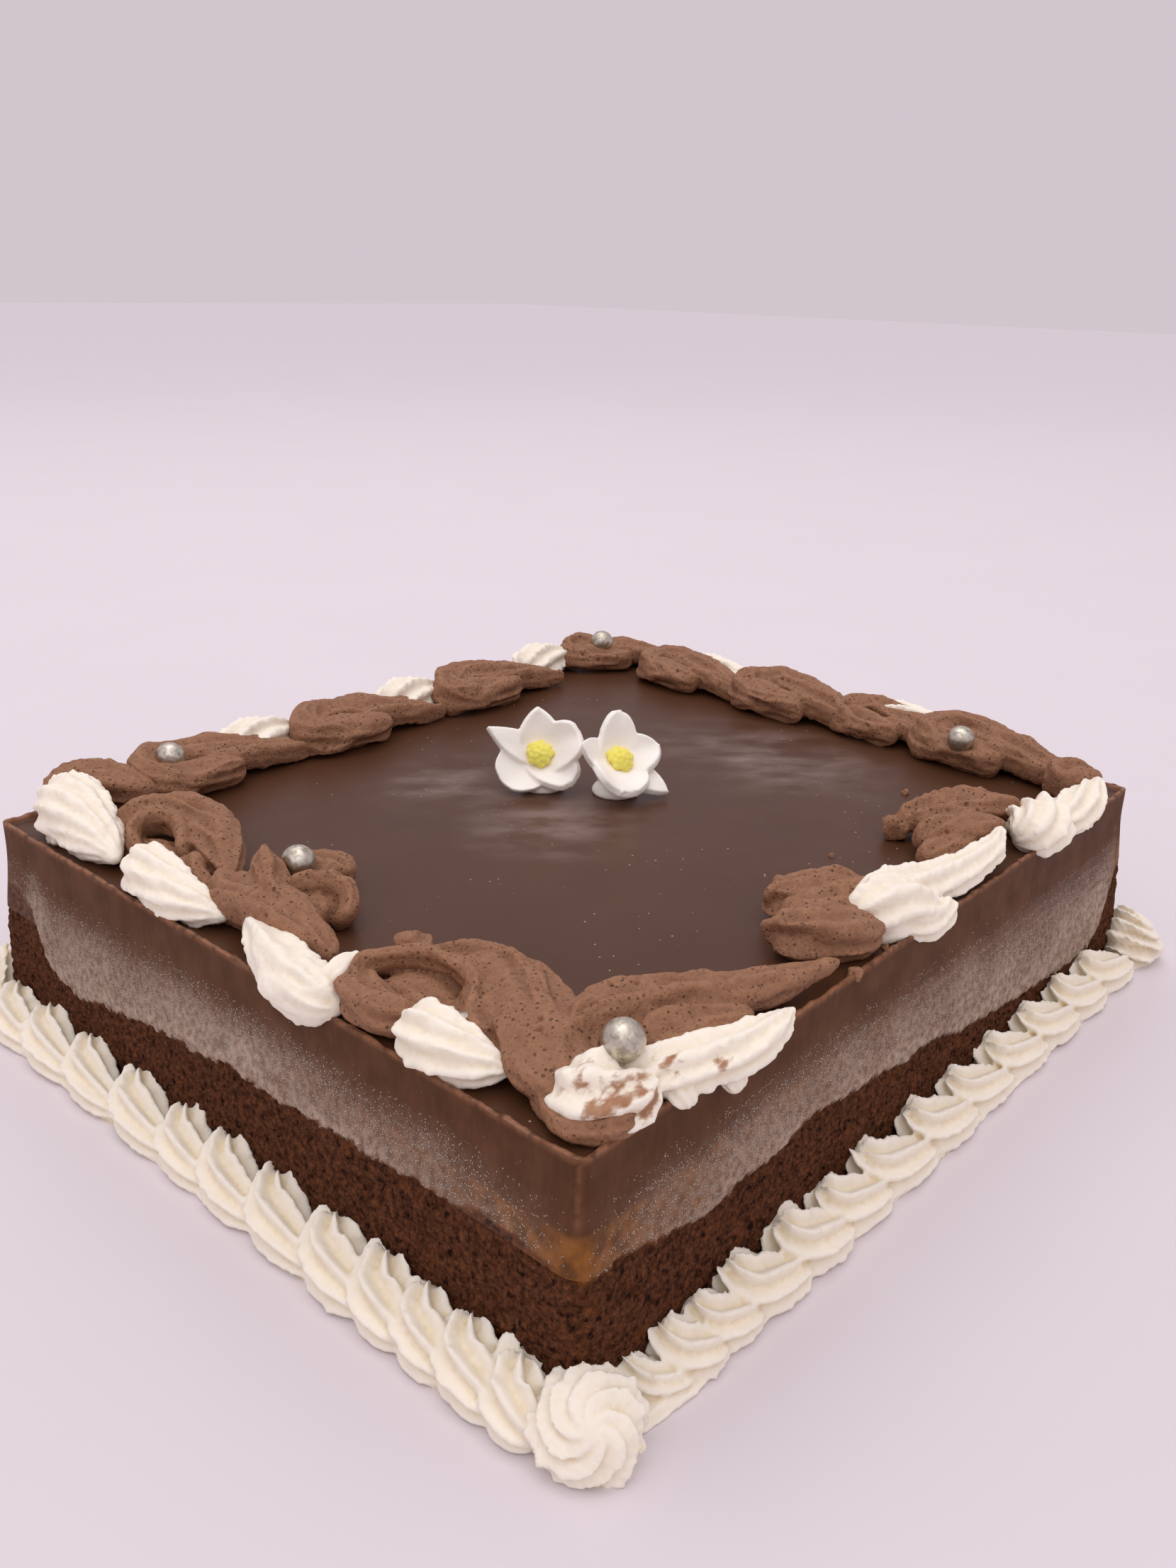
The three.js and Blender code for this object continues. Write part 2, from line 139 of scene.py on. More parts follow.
# %% Sockets as values
class Shade:
    """A socket of a material that takes part in Python expressions."""

    def __init__(self, socket):
        self.socket = socket

    def add(self, kind, settings=None, inputs=None, output=0):
        tree = self.socket.id_data
        node = tree.nodes.new(kind)
        for name, value in (settings or {}).items():
            setattr(node, name, value)
        for name, value in (inputs or {}).items():
            feed(node, name, value)
        return Shade(node.outputs[output])

    def maths(self, operation, first, second):
        return self.add("ShaderNodeMath", {"operation": operation}, {0: first, 1: second})

    def __add__(self, other):
        return self.maths("ADD", self, other)

    def __sub__(self, other):
        return self.maths("SUBTRACT", self, other)

    def __rsub__(self, other):
        return self.maths("SUBTRACT", other, self)

    def __mul__(self, other):
        return self.maths("MULTIPLY", self, other)

    def __pow__(self, other):
        return self.maths("POWER", self, other)

    __radd__ = __add__
    __rmul__ = __mul__

    def step(self, low, high):
        """0 below low, 1 above high and a smooth slope between them."""
        limits = {"Value": self, "From Min": low, "From Max": high}
        return self.add("ShaderNodeMapRange", {"interpolation_type": "SMOOTHSTEP"}, limits)


def feed(node, name, value):
    """Links a socket value to a node's input, or sets a plain number or colour on it."""
    if isinstance(value, Shade):
        node.id_data.links.new(value.socket, node.inputs[name])
    else:
        node.inputs[name].default_value = value


print("shader maths ready")

# %% Patterns shared by the finishes
def colour(red, green, blue):
    """A screen colour, 0 to 255, as the linear colour that a shader works with."""
    shares = [value / 255 for value in (red, green, blue)]
    return tuple(s / 12.92 if s < 0.04045 else ((s + 0.055) / 1.055) ** 2.4 for s in shares) + (1,)


def new_finish(name, **settings):
    """A material, its surface node, and the place on the piece in millimetres."""
    material = bpy.data.materials.new(name)
    material.use_nodes = True
    tree = material.node_tree
    surface = tree.nodes["Principled BSDF"]
    for socket, value in settings.items():
        surface.inputs[socket.replace("_", " ")].default_value = value
    object_place = Shade(tree.nodes.new("ShaderNodeTexCoord").outputs["Object"])
    scaling = {0: object_place, "Scale": 1 / MM}
    place = object_place.add("ShaderNodeVectorMath", {"operation": "SCALE"}, scaling)
    return material, surface, place


def cloud(place, size, detail=2.0):
    """Soft noise round 0.5, with blobs of about that many millimetres."""
    return place.add("ShaderNodeTexNoise", {}, {"Vector": place, "Scale": 1 / size, "Detail": detail})


def cells(place, size, output="Distance"):
    """Distance to the nearest of scattered points that many millimetres apart, or a chance for each."""
    return place.add("ShaderNodeTexVoronoi", {}, {"Vector": place, "Scale": 1 / size}, output)


def stretched(place, x, y, z):
    """The place with its axes scaled. A pattern is drawn out along an axis that is scaled down."""
    return place.add("ShaderNodeVectorMath", {"operation": "MULTIPLY"}, {0: place, 1: (x, y, z)})


def blend(mask, below, above):
    """The colour below where the mask is 0 and the one above where it is 1."""
    return mask.add("ShaderNodeMix", {"data_type": "RGBA"}, {0: mask, 6: below, 7: above}, 2)


def painted(place, name):
    """A value that was painted on the piece's points."""
    return place.add("ShaderNodeAttribute", {"attribute_name": name}, {}, "Fac")


def bumped(height, distance):
    """A normal that leans with a height, with the distance in millimetres."""
    values = {"Height": height, "Distance": distance * MM, "Strength": 1.0}
    return height.add("ShaderNodeBump", {}, values)


print("patterns ready")

# %% [markdown]
# ## Setting pieces down
#
# Every piece ends the same way: its mesh is scaled to metres, its normals are checked, it rides
# on the cake's body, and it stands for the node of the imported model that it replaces.

# %% Setting down
SHARP_EDGE = math.radians(70)


def set_down(bm, name, material, slot, *nodes):
    """Makes a finished mesh a piece of the cake, in metres, that stands for its nodes."""
    bmesh.ops.scale(bm, vec=(MM, MM, MM), verts=bm.verts)
    bmesh.ops.recalc_face_normals(bm, faces=bm.faces)
    mesh = bpy.data.meshes.new(name)
    bm.to_mesh(mesh)
    bm.free()
    mesh.materials.append(material)
    mesh.shade_smooth()
    mesh.set_sharp_from_angle(angle=SHARP_EDGE)
    piece = bpy.data.objects.new(name, mesh)
    scene.collection.objects.link(piece)
    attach(piece, "root")
    if nodes:
        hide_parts(*nodes)
    print(name, len(mesh.polygons), "faces")
    return piece


def wobble(point, size, seed=0.0):
    """Smooth noise from -1 to 1 at a point, with bumps of about that size."""
    return noise.noise(Vector(point) / size + Vector((seed, seed * 1.7, seed * 0.3)))


def uneven(point, layers):
    """Noise in layers of (bump size, height, seed)."""
    return sum(height * wobble(point, size, seed) for size, height, seed in layers)


print("one millimetre is", MM, "m")

# %% Floor
FLOOR_HALF = 6.0
FLOOR_PATCH = 90

floor_finish, floor_surface, floor_place = new_finish("pale_floor", Roughness=0.65)
pale = blend(cloud(floor_place, FLOOR_PATCH), colour(221, 214, 218), colour(224, 217, 221))
feed(floor_surface, "Base Color", pale)
floor_mesh = bmesh.new()
bmesh.ops.create_grid(floor_mesh, x_segments=2, y_segments=2, size=FLOOR_HALF)
floor_data = bpy.data.meshes.new("floor")
floor_mesh.to_mesh(floor_data)
floor_mesh.free()
floor_data.materials.append(floor_finish)
floor = bpy.data.objects.new("floor", floor_data)
scene.collection.objects.link(floor)
floor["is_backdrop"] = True
print("floor:", FLOOR_HALF * 2, "m wide")

# %% [markdown]
# ## What runs down the walls
#
# The walls tell how the cake was made. When the frame came off, some chocolate was drawn down
# over the filling and the sponge as a thin smear with a torn lower edge, and the cold cake then
# caught a sparkling frost on it. Near the corners the smear is missing and the amber filling
# shows. Three curves along each near wall say how deep the smear reaches, how thick the frost is
# and how much amber shows. The far walls repeat the near ones.

# %% Curves along the walls
# Each curve is pairs of a distance from the front left corner and a value there
FRONT_WALL = {
    "smear": [
        (0, 23.2), (9, 23.5), (22, 26), (32, 28.4), (48, 27.3), (71, 25.6), (96, 28.5),
        (130, 33.2), (152, 37.2), (178, 40.5), (214, 43), (221, 38.5), (228, 25.5), (235, 19),
    ],
    "frost": [(0, 0.1), (6, 0.3), (25, 0.85), (80, 1), (150, 1.2), (220, 1.4), (230, 0.4), (235, 0)],
    "amber": [(0, 1), (8, 0.9), (22, 0.75), (75, 0.5), (115, 0.2), (205, 0), (225, 0.2), (233, 1)],
}
LEFT_WALL = {
    "smear": [
        (0, 22.5), (4, 21.2), (16, 21), (30, 22.4), (55, 24), (87, 25.5),
        (121, 27.7), (138, 30.7), (163, 34.7), (176, 32.5), (185, 20), (195, 16),
    ],
    "frost": [(0, 0.1), (10, 0.35), (32, 0.8), (90, 1.1), (150, 1.25), (182, 1.2), (190, 0.3)],
    "amber": [(0, 1), (8, 0.9), (25, 0.75), (60, 0.5), (95, 0.2), (185, 0), (197, 0.5), (199, 1)],
}


def wall_value(point, direction, name):
    """The value of a curve beside a point of a wall."""
    on_long_wall = abs(direction.y) > abs(direction.x)
    curve = FRONT_WALL[name] if on_long_wall else LEFT_WALL[name]
    distance = point.x + LENGTH / 2 if on_long_wall else point.y + WIDTH / 2
    return float(np.interp(distance, *zip(*curve)))


def ease(value, low, high):
    """0 at low, 1 at high and smooth between them. Low may be the larger."""
    share = min(max((value - low) / (high - low), 0), 1)
    return share * share * (3 - 2 * share)


print("wall curves:", list(FRONT_WALL))

# %% How the walls are built
# A ring of points is bent into the cake's outline and drawn upwards, ring by ring
OUTLINE_POINTS = 1160


def outline(share):
    """A point of the rim's outline and the direction out of the wall there."""
    sides = [LENGTH - 2 * CORNER_RADIUS, WIDTH - 2 * CORNER_RADIUS] * 2
    arc = CORNER_RADIUS * math.pi / 2
    left = share * (sum(sides) + 4 * arc)
    point = Vector((-sides[0] / 2, -WIDTH / 2, 0))
    for turn, side in enumerate(sides):
        ahead = Matrix.Rotation(turn * math.pi / 2, 3, "Z") @ Vector((1, 0, 0))
        out = Vector((ahead.y, -ahead.x, 0))
        if left <= side:
            return point + ahead * left, out
        left -= side
        middle = point + ahead * side - out * CORNER_RADIUS
        bend = min(left / CORNER_RADIUS, math.pi / 2)
        swung = Matrix.Rotation(bend, 3, "Z") @ out
        if left <= arc:
            return middle + swung * CORNER_RADIUS, swung
        left -= arc
        point = middle + ahead * CORNER_RADIUS
    return point, out


OUTLINE = [outline(i / OUTLINE_POINTS) for i in range(OUTLINE_POINTS)]
print("outline points:", len(OUTLINE))


# %% Wall rings
def raise_wall(rows, shape):
    """A closed layer from rows of (height, how far out). `shape` moves each point and paints it."""
    bm = bmesh.new()
    station = bm.verts.layers.int.new("station")
    paints = {name: bm.verts.layers.float.new(name) for name in ("smear", "frost", "amber", "lip")}
    ring = bmesh.ops.create_circle(bm, segments=OUTLINE_POINTS, radius=1)["verts"]
    for vert in ring:
        turn = math.atan2(vert.co.y, vert.co.x) / math.tau
        vert[station] = round(turn * OUTLINE_POINTS) % OUTLINE_POINTS
    edges = bm.edges[:]
    first = edges
    for row, (height, out) in enumerate(rows):
        if row:
            drawn = bmesh.ops.extrude_edge_only(bm, edges=edges)["geom"]
            ring = [item for item in drawn if isinstance(item, bmesh.types.BMVert)]
            edges = [item for item in drawn if isinstance(item, bmesh.types.BMEdge)]
        for vert in ring:
            point, direction = OUTLINE[vert[station]]
            vert.co = point + direction * out + Vector((0, 0, height))
            for name, value in shape(vert, direction).items():
                vert[paints[name]] = value
    bmesh.ops.contextual_create(bm, geom=first)
    bmesh.ops.contextual_create(bm, geom=edges)
    return bm


print("wall rings ready")


# %% Paint and relief of the walls
SMEAR_TEAR = 1.1
SMEAR_FEATHER = 0.6
SMEAR_THICK = 0.5
# The frost starts at a share of the smear's depth and is full at another. The rest of it is a
# crust, which thickens between two distances above the smear's lower edge
FROST_STARTS = 0.2
FROST_FULL = 0.8
CRUST = (5, 0.5)
CRUST_SHARE = 0.25
JELLY_TOP = 15.5
JELLY_FOOT = 27
# Depths between which the wall comes out, first to the sponge and then to its foot
BULGE = (5, 30)
SPREAD = (23, CAKE_HEIGHT)
SCRAPE_DEPTH = 0.06
WAVE_DEPTH = 0.15
# Layers of noise: bump size, height and seed
TEARS = [(2.2, 1, 0), (0.9, 0.6, 3), (11, 1.2, 5)]
FROST_PATCHES = [(14, 0.3, 2)]
JELLY_WAVES = [(12, 1, 7)]


def wall_paint(point, direction):
    """How much smear, frost and amber show at a point of a wall."""
    deep = CAKE_HEIGHT - point.z
    edge = wall_value(point, direction, "smear") + SMEAR_TEAR * uneven(point, TEARS)
    smear = ease(deep, edge + SMEAR_FEATHER, edge - SMEAR_FEATHER)
    body = (1 - CRUST_SHARE) * ease(deep / edge, FROST_STARTS, FROST_FULL)
    rise = body + CRUST_SHARE * ease(edge - deep, *CRUST)
    patch = 1 + uneven(point, FROST_PATCHES)
    frost = wall_value(point, direction, "frost") * rise * smear * patch
    level = deep + uneven(point, JELLY_WAVES)
    band = ease(level, JELLY_TOP - 1, JELLY_TOP + 1.5) * ease(level, JELLY_FOOT + 2, JELLY_FOOT - 2)
    amber = wall_value(point, direction, "amber") * band
    return {"smear": smear, "frost": min(max(frost, 0), 1), "amber": amber}


def wall_out(height):
    """How far the wall has come out from the rim's outline at a height."""
    deep = CAKE_HEIGHT - height
    return SPONGE_OUT * ease(deep, *BULGE) + (FOOT_OUT - SPONGE_OUT) * ease(deep, *SPREAD)


def wall_rows(base, height, count):
    """Rows for a layer's wall: heights from its base up, and how far out each is."""
    heights = [base + height * row / count for row in range(count + 1)]
    return [(level, wall_out(level)) for level in heights]


def wall_relief(point, smear):
    """How far a wall stands out: waves, upright scrapes near the top, and the smear lower down."""
    deep = CAKE_HEIGHT - point.z
    upright = Vector((point.x, point.y, point.z * 0.15))
    scrapes = SCRAPE_DEPTH * wobble(upright, 2.2) * ease(deep, 16, 5)
    return scrapes + WAVE_DEPTH * wobble(point, 9) + SMEAR_THICK * smear * ease(deep, 18, 26)


print("wall paint ready")

# %% [markdown]
# ## Chocolate sponge
#
# A cut sponge is a foam: grains about a millimetre across with pores between them. A flat
# wall with a picture of crumb would look like paper from the side, so the pores are pressed into
# the mesh, and the shader only adds what is finer than the mesh: painted highlights on the high
# crumb and painted shade in the pores. Under the smear the wall is smooth and stands out a little.

# %% Sponge finish
def crumb_relief_and_shade(place):
    """How high the crumb stands at a place, shown in colour as painted highlight and shade, and where its
    pores are.
    """
    pores = cloud(place, 1.5, 4)
    grain = cloud(place, 0.5, 3) * 0.55 + pores * 0.7 + (0.5 - cells(place, 1.1)) * 0.35
    return grain.step(0.3, 0.95), pores.step(0.42, 0.31)


def crumb_colour(place):
    """Brown crumb with a few lighter spots, painted highlights where it stands high and painted shade in
    its pores.
    """
    light, pores = crumb_relief_and_shade(place)
    # Painted highlight and shade: the crumb is lighter where it stands high and darker where it is low
    crumb = blend(light, colour(46, 24, 14), colour(112, 69, 45))
    crumb = blend(cloud(place, 4, 2).step(0.55, 0.75) * 0.2, crumb, colour(140, 82, 42))
    # Painted shade: the pores are nearly black
    return blend(pores * 0.9, crumb, colour(28, 13, 8))


def jelly_colour(place):
    """Clouded amber."""
    return blend(cloud(place, 3, 4).step(0.3, 0.7), colour(90, 54, 21), colour(144, 90, 37))


def smeared_finish(place, bare):
    """The bare layer's colour under amber, smear and frost with painted glints, and a height for the
    frost.
    """
    amber, smear, frost = (painted(place, name) for name in ("amber", "smear", "frost"))
    mottle = cloud(place, 7, 4) * 0.7 + cloud(stretched(place, 1, 1, 0.3), 1.3, 3) * 0.3
    film = blend(mottle.step(0.3, 0.7), colour(80, 50, 30), colour(98, 64, 43))
    cover = blend(amber * 0.9, film, jelly_colour(place))
    haze = blend(cloud(place, 1.6, 4).step(0.3, 0.7), colour(136, 111, 95), colour(192, 170, 153))
    cover = blend(frost ** 1.8 * 0.9, cover, haze)
    # The frost's crystals: white dots, partly the crystals' own white and partly painted glints
    crystal = 1 - cells(place, 0.45).step(0.22, 0.46)
    crystal_glint = crystal * (frost * 1.2 + 0.02 - cells(place, 0.45, "Color")).step(-0.05, 0.05)
    covered = blend(crystal_glint * 0.8, cover, colour(220, 206, 190))
    return blend(smear, bare, covered), crystal_glint * smear, smear


sponge_finish, sponge_surface, place = new_finish(
    "sponge_crumb", Roughness=0.95, Specular_IOR_Level=0.08
)
light, pores = crumb_relief_and_shade(place)
skin_colour, crystal_glint, smear = smeared_finish(place, crumb_colour(place))
feed(sponge_surface, "Base Color", skin_colour)
feed(sponge_surface, "Normal", bumped(light * (1 - smear) + crystal_glint * 0.5, 0.5))
print("finish:", sponge_finish.name)

# %% Sponge
CRUMB_STEP = 0.75
PORE_DEPTH = 1.1
# Pores are the peaks of noise: bump size, seed and the level where a pore begins
PORES = [(1.5, 8, 0.05), (3.4, 9, 0.15)]
GRAINS = [(0.9, 0.35, 4)]


def sponge_point(vert, direction):
    """Presses pores into the bare wall."""
    paint = wall_paint(vert.co, direction)
    pore = sum(max(0, wobble(vert.co, size, seed) - level) for size, seed, level in PORES)
    crumb = (uneven(vert.co, GRAINS) - PORE_DEPTH * pore) * (1 - paint["smear"])
    vert.co += direction * (crumb + wall_relief(vert.co, paint["smear"]))
    return paint


rows = wall_rows(0, SPONGE_HEIGHT, round(SPONGE_HEIGHT / CRUMB_STEP))
set_down(raise_wall(rows, sponge_point), "sponge_crumb", sponge_finish, "chocolate_sponge", "sponge")

# %% [markdown]
# ## Fruit filling
#
# A band of amber jelly between sponge and chocolate. It is only bare at the corners: elsewhere
# the smear and the frost lie over it, so it shares their paint with the sponge.

# %% Filling finish and filling
filling_finish, filling_surface, place = new_finish(
    "amber_filling", Roughness=0.55, Specular_IOR_Level=0.15
)
bare = blend(painted(place, "amber").step(0.85, 1.0), crumb_colour(place), jelly_colour(place))
skin_colour, crystal_glint, smear = smeared_finish(place, bare)
feed(filling_surface, "Base Color", skin_colour)
feed(filling_surface, "Normal", bumped(crystal_glint + cloud(place, 1.6) * 0.3, 0.35))

FILLING_ROWS = 11


def filling_point(vert, direction):
    """Gives the band the relief of the wall."""
    paint = wall_paint(vert.co, direction)
    vert.co += direction * wall_relief(vert.co, paint["smear"])
    return paint


rows = wall_rows(SPONGE_HEIGHT, FILLING_HEIGHT, FILLING_ROWS)
band = raise_wall(rows, filling_point)
set_down(band, "amber_filling", filling_finish, "fruit_filling", "fruit_filling")

# %% [markdown]
# ## Chocolate layer
#
# The top is a flat pour of chocolate with a thin lip where it crept up the frame. Its sides are
# matte, with fine upright scrapes, and its top has a satin shine, with pale bloom round the
# flowers and a dust of tiny specks. So the layer is one mesh with two finishes, and each face
# takes the one that fits the way it looks.

# %% Chocolate finish
BLOOM_PATCHES = [
    {"at": (66, -10), "reach": (36, 54)},
    {"at": (-18, 0), "reach": (32, 30)},
    {"at": (-16, 42), "reach": (30, 26)},
]
WIPED = math.radians(45)
LIP_COLOUR = colour(150, 104, 76)


def lighter_lip(place):
    """Where the lip and the corner edges are painted lighter, in patches."""
    return painted(place, "lip") * cloud(place, 2.5).step(0.25, 0.6) * 0.8


wall_finish, wall_surface, place = new_finish("matte_chocolate", Roughness=0.6, Specular_IOR_Level=0.1)
skin_colour, crystal_glint, smear = smeared_finish(place, colour(80, 51, 34))
feed(wall_surface, "Base Color", blend(lighter_lip(place), skin_colour, LIP_COLOUR))
scrape = cloud(stretched(place, 1, 1, 0.25), 1.1, 4)
feed(wall_surface, "Normal", bumped(scrape * 0.2 + crystal_glint, 0.3))

chocolate_finish, chocolate_surface, place = new_finish("satin_chocolate", Specular_IOR_Level=0.25)
turned = {"Vector": place, "Angle": WIPED}
wiped = place.add("ShaderNodeVectorRotate", {"rotation_type": "Z_AXIS"}, turned)
streak = cloud(stretched(wiped, 0.5, 1, 1), 9, 9).step(0.36, 0.76)
bloom = None
for patch in BLOOM_PATCHES:
    middle = {0: place, 1: (patch["at"][0], patch["at"][1], TOP)}
    away = place.add("ShaderNodeVectorMath", {"operation": "SUBTRACT"}, middle)
    reach = stretched(away, 1 / patch["reach"][0], 1 / patch["reach"][1], 0)
    far = reach.add("ShaderNodeVectorMath", {"operation": "LENGTH"}, {0: reach}, "Value")
    one = (1 - far.step(0.1, 1.0)) * streak
    bloom = one if bloom is None else bloom + one
top_colour = blend(cloud(place, 26, 3), colour(72, 44, 27), colour(83, 53, 35))
top_colour = blend(bloom * 0.5, top_colour, colour(168, 150, 142))
speck = (1 - cells(place, 3.2).step(0.05, 0.1)) * cloud(place, 30).step(0.48, 0.6)
top_colour = blend(speck * 0.7, top_colour, colour(190, 176, 168))
feed(chocolate_surface, "Base Color", blend(lighter_lip(place), top_colour, LIP_COLOUR))
feed(chocolate_surface, "Roughness", cloud(place, 7) * 0.12 + 0.32 + bloom * 0.25)
print("finishes:", wall_finish.name, chocolate_finish.name)

# %% Chocolate layer
CHOCOLATE_STEP = 0.75
# The lip's section: up from the cake's height, and out from the wall
LIP = [(0, -0.2), (0.1, -0.6), (-0.1, -1.1), (-0.8, -1.5), (-1.2, -1.9), (-1.2, -2.2)]
LIP_RAGGED = 0.5
LIP_TEARS = [(3.5, 1, 1), (1.3, 0.6, 2)]
LIP_WIDTH = 1.4
# How strongly the corner edges take the lip's lighter colour
CORNER_LIGHTER = 0.7
LOOKS_UP = 0.6


def chocolate_point(vert, direction):
    """Scrapes the sides and tears the lip, and paints where the lip and the corner edges are lighter."""
    paint = wall_paint(vert.co, direction)
    upright = Vector((vert.co.x, vert.co.y, vert.co.z * 0.08))
    vert.co += direction * wall_relief(vert.co, 1) * (1 - 0.7 * ease(vert.co.z, TOP - 1, TOP))
    edge = 1 - ease(abs(vert.co.z - CAKE_HEIGHT), 0.3, 1.1)
    vert.co.z += LIP_RAGGED * edge * uneven(upright, LIP_TEARS)
    bend = min(abs(direction.x), abs(direction.y))
    on_wall = max(abs(vert.co.x) - LENGTH / 2, abs(vert.co.y) - WIDTH / 2) > -LIP_WIDTH
    ridge = CORNER_LIGHTER * on_wall * ease(bend, 0.5, 0.7) * ease(CAKE_HEIGHT - vert.co.z, 16, 12)
    return {**paint, "smear": 1, "lip": max(edge, ridge)}


rows = wall_rows(CHOCOLATE_BASE, CHOCOLATE_HEIGHT, round(CHOCOLATE_HEIGHT / CHOCOLATE_STEP))
rows += [(CAKE_HEIGHT + rise, out) for rise, out in LIP]
ring = raise_wall(rows, chocolate_point)
layer = set_down(ring, "chocolate_layer_dressed", wall_finish, "chocolate", "chocolate_layer")
layer.data.materials.append(chocolate_finish)
for face in layer.data.polygons:
    face.material_index = int(face.normal.z > LOOKS_UP)

# %% [markdown]
# ## Piping
#
# All the cream was squeezed from a bag. A squeeze is a ball drawn out along a curve, with the
# star of the nozzle as its section, so that is how it is made here: a sphere whose rings are
# moved along the stroke. Where strokes of one piece meet, the cream runs together, and a voxel
# remesh gives them one skin. A little smoothing and noise then take away the machined look.

# %% Nozzles and rings
# A nozzle: points round it, ridges and how deep they are, how broad the crests, how far they wind,
# how flat the stroke, how blunt its ends, how torn the crests, how tall its first peaks, how folded
PLAIN = {
    "sides": 48, "ridges": 0, "depth": 0, "lobe": 1, "twist": 0,
    "flat": 1, "blunt": 3, "rag": 0, "crown": 0, "fold": 0,
}
CROWN_SHARE = 0.3
CROWN_MIDDLE = 0.6
CROWN_TALL = 1.8
FOLD_LENGTH = 14
FOLD_ROUND = 1.5
FOLD_SEED = 3.1
RAG_LENGTH = 1.3
LANE_STEP = 7.3
RING_STEP = 0.7
LOOK_AHEAD = 0.01


def curve(places, share):
    """A smooth curve through places of any number of values."""
    last = len(places) - 1
    start = min(int(share * last), last - 1)
    t = share * last - start
    a, b = places[max(start - 1, 0)], places[start]
    c, d = places[start + 1], places[min(start + 2, last)]
    return b + 0.5 * t * ((c - a) + t * ((2 * a - 5 * b + 4 * c - d) + t * (3 * b - a - 3 * c + d)))


def rings_along(places, rings, blunt, up):
    """Each ring of a stroke: how far along it is, its middle, three directions and how full it is."""
    sections = []
    for ring in range(rings + 1):
        even = ring / rings
        share = (even + (1 - math.cos(math.pi * even)) / 2) / 2
        here = curve(places, share)
        near = curve(places, max(share - LOOK_AHEAD, 0))
        far = curve(places, min(share + LOOK_AHEAD, 1))
        ahead = (far - near).to_3d().normalized()
        side = side - ahead * side.dot(ahead) if sections else ahead.cross(up)
        side.normalize()
        lift = side.cross(ahead).normalized()
        full = math.sqrt(max(0, 1 - abs(2 * share - 1) ** blunt))
        sections.append((share, here, side.copy(), lift, ahead, full))
    return sections


print("rings ready")


# %% A stroke
def squeeze(bm, stations, nozzle, up=Vector((0, 0, 1)), seed=0.0):
    """One stroke through stations of (x, y, z, radius). Returns its points."""
    tip = {**PLAIN, **nozzle}
    places = [Vector(station) for station in stations]
    length = sum((b - a).to_3d().length for a, b in zip(places, places[1:]))
    rings = max(12, round(length / RING_STEP))
    sections = rings_along(places, rings, tip["blunt"], up)
    stroke = bmesh.new()
    bmesh.ops.create_uvsphere(stroke, u_segments=tip["sides"], v_segments=rings, radius=1)
    for vert in stroke.verts:
        ring = round(math.acos(max(-1, min(1, vert.co.z))) / math.pi * rings)
        share, here, side, lift, ahead, full = sections[ring]
        angle = math.atan2(vert.co.y, vert.co.x)
        phase = tip["ridges"] * (angle - math.pi / 2 - tip["twist"] * share) / 2
        crest = math.cos(phase) ** 2
        lane = round(phase / math.pi) * LANE_STEP
        star = 1 + tip["depth"] * (2 * crest ** tip["lobe"] - 1)
        star += tip["rag"] * crest ** 4 * noise.noise(Vector((share * length / RAG_LENGTH, lane, seed)))
        run = share * length / FOLD_LENGTH + FOLD_SEED * seed
        around = Vector((run, FOLD_ROUND * math.cos(angle), FOLD_ROUND * math.sin(angle)))
        star += tip["fold"] * (0.5 - 2 * abs(noise.noise(around)))
        rim = side * math.cos(angle) + lift * tip["flat"] * math.sin(angle)
        tall = CROWN_TALL * crest ** 1.5 * (1 + noise.noise(Vector((lane, seed, 4))))
        peak = CROWN_MIDDLE + full * (tall - CROWN_MIDDLE)
        peak *= tip["crown"] * max(0, 1 - share / CROWN_SHARE)
        vert.co = here.to_3d() + here[3] * full * star * rim - ahead * peak
    drawn = bpy.data.meshes.new("stroke")
    stroke.to_mesh(drawn)
    stroke.free()
    before = len(bm.verts)
    bm.from_mesh(drawn)
    bpy.data.meshes.remove(drawn)
    return list(bm.verts)[before:]


print("piping ready")


# %% One skin
def one_skin(bm, voxel, smoothing):
    """The same shape as one closed skin of even small faces."""
    mesh = bpy.data.meshes.new("squeezed")
    bm.to_mesh(mesh)
    bm.free()
    holder = bpy.data.objects.new("squeezed", mesh)
    scene.collection.objects.link(holder)
    remesh = holder.modifiers.new("skin", "REMESH")
    remesh.mode = "VOXEL"
    remesh.voxel_size = voxel
    skinned = holder.evaluated_get(bpy.context.evaluated_depsgraph_get())
    whole = bmesh.new()
    whole.from_mesh(skinned.to_mesh())
    bpy.data.objects.remove(holder)
    bpy.data.meshes.remove(mesh)
    every_axis = {"use_axis_" + axis: True for axis in "xyz"}
    for _ in range(smoothing):
        bmesh.ops.smooth_vert(whole, verts=whole.verts, factor=0.5, **every_axis)
    whole.normal_update()
    return whole


def roughen(bm, layers):
    """Moves the skin in and out by noise, in layers of (bump size, height)."""
    for vert in bm.verts:
        lift = sum(height * wobble(vert.co, size, size) for size, height in layers)
        vert.co += vert.normal * lift


print("skin ready")

# %% [markdown]
# ## Whipped cream
#
# Whipped cream is white on its crests and darker and slightly yellow in its folds. The finish lets
# light in under the skin, and the folds get a darker, yellower colour as painted shade. On the
# front corner some chocolate was dragged over it, which is painted on.

# %% Cream finish
cream_finish, cream_surface, place = new_finish(
    "whipped_cream",
    Roughness=0.5,
    Subsurface_Weight=0.2,
    Subsurface_Radius=(1.0, 0.85, 0.6),
    Subsurface_Scale=0.002,
    Specular_IOR_Level=0.35,
)
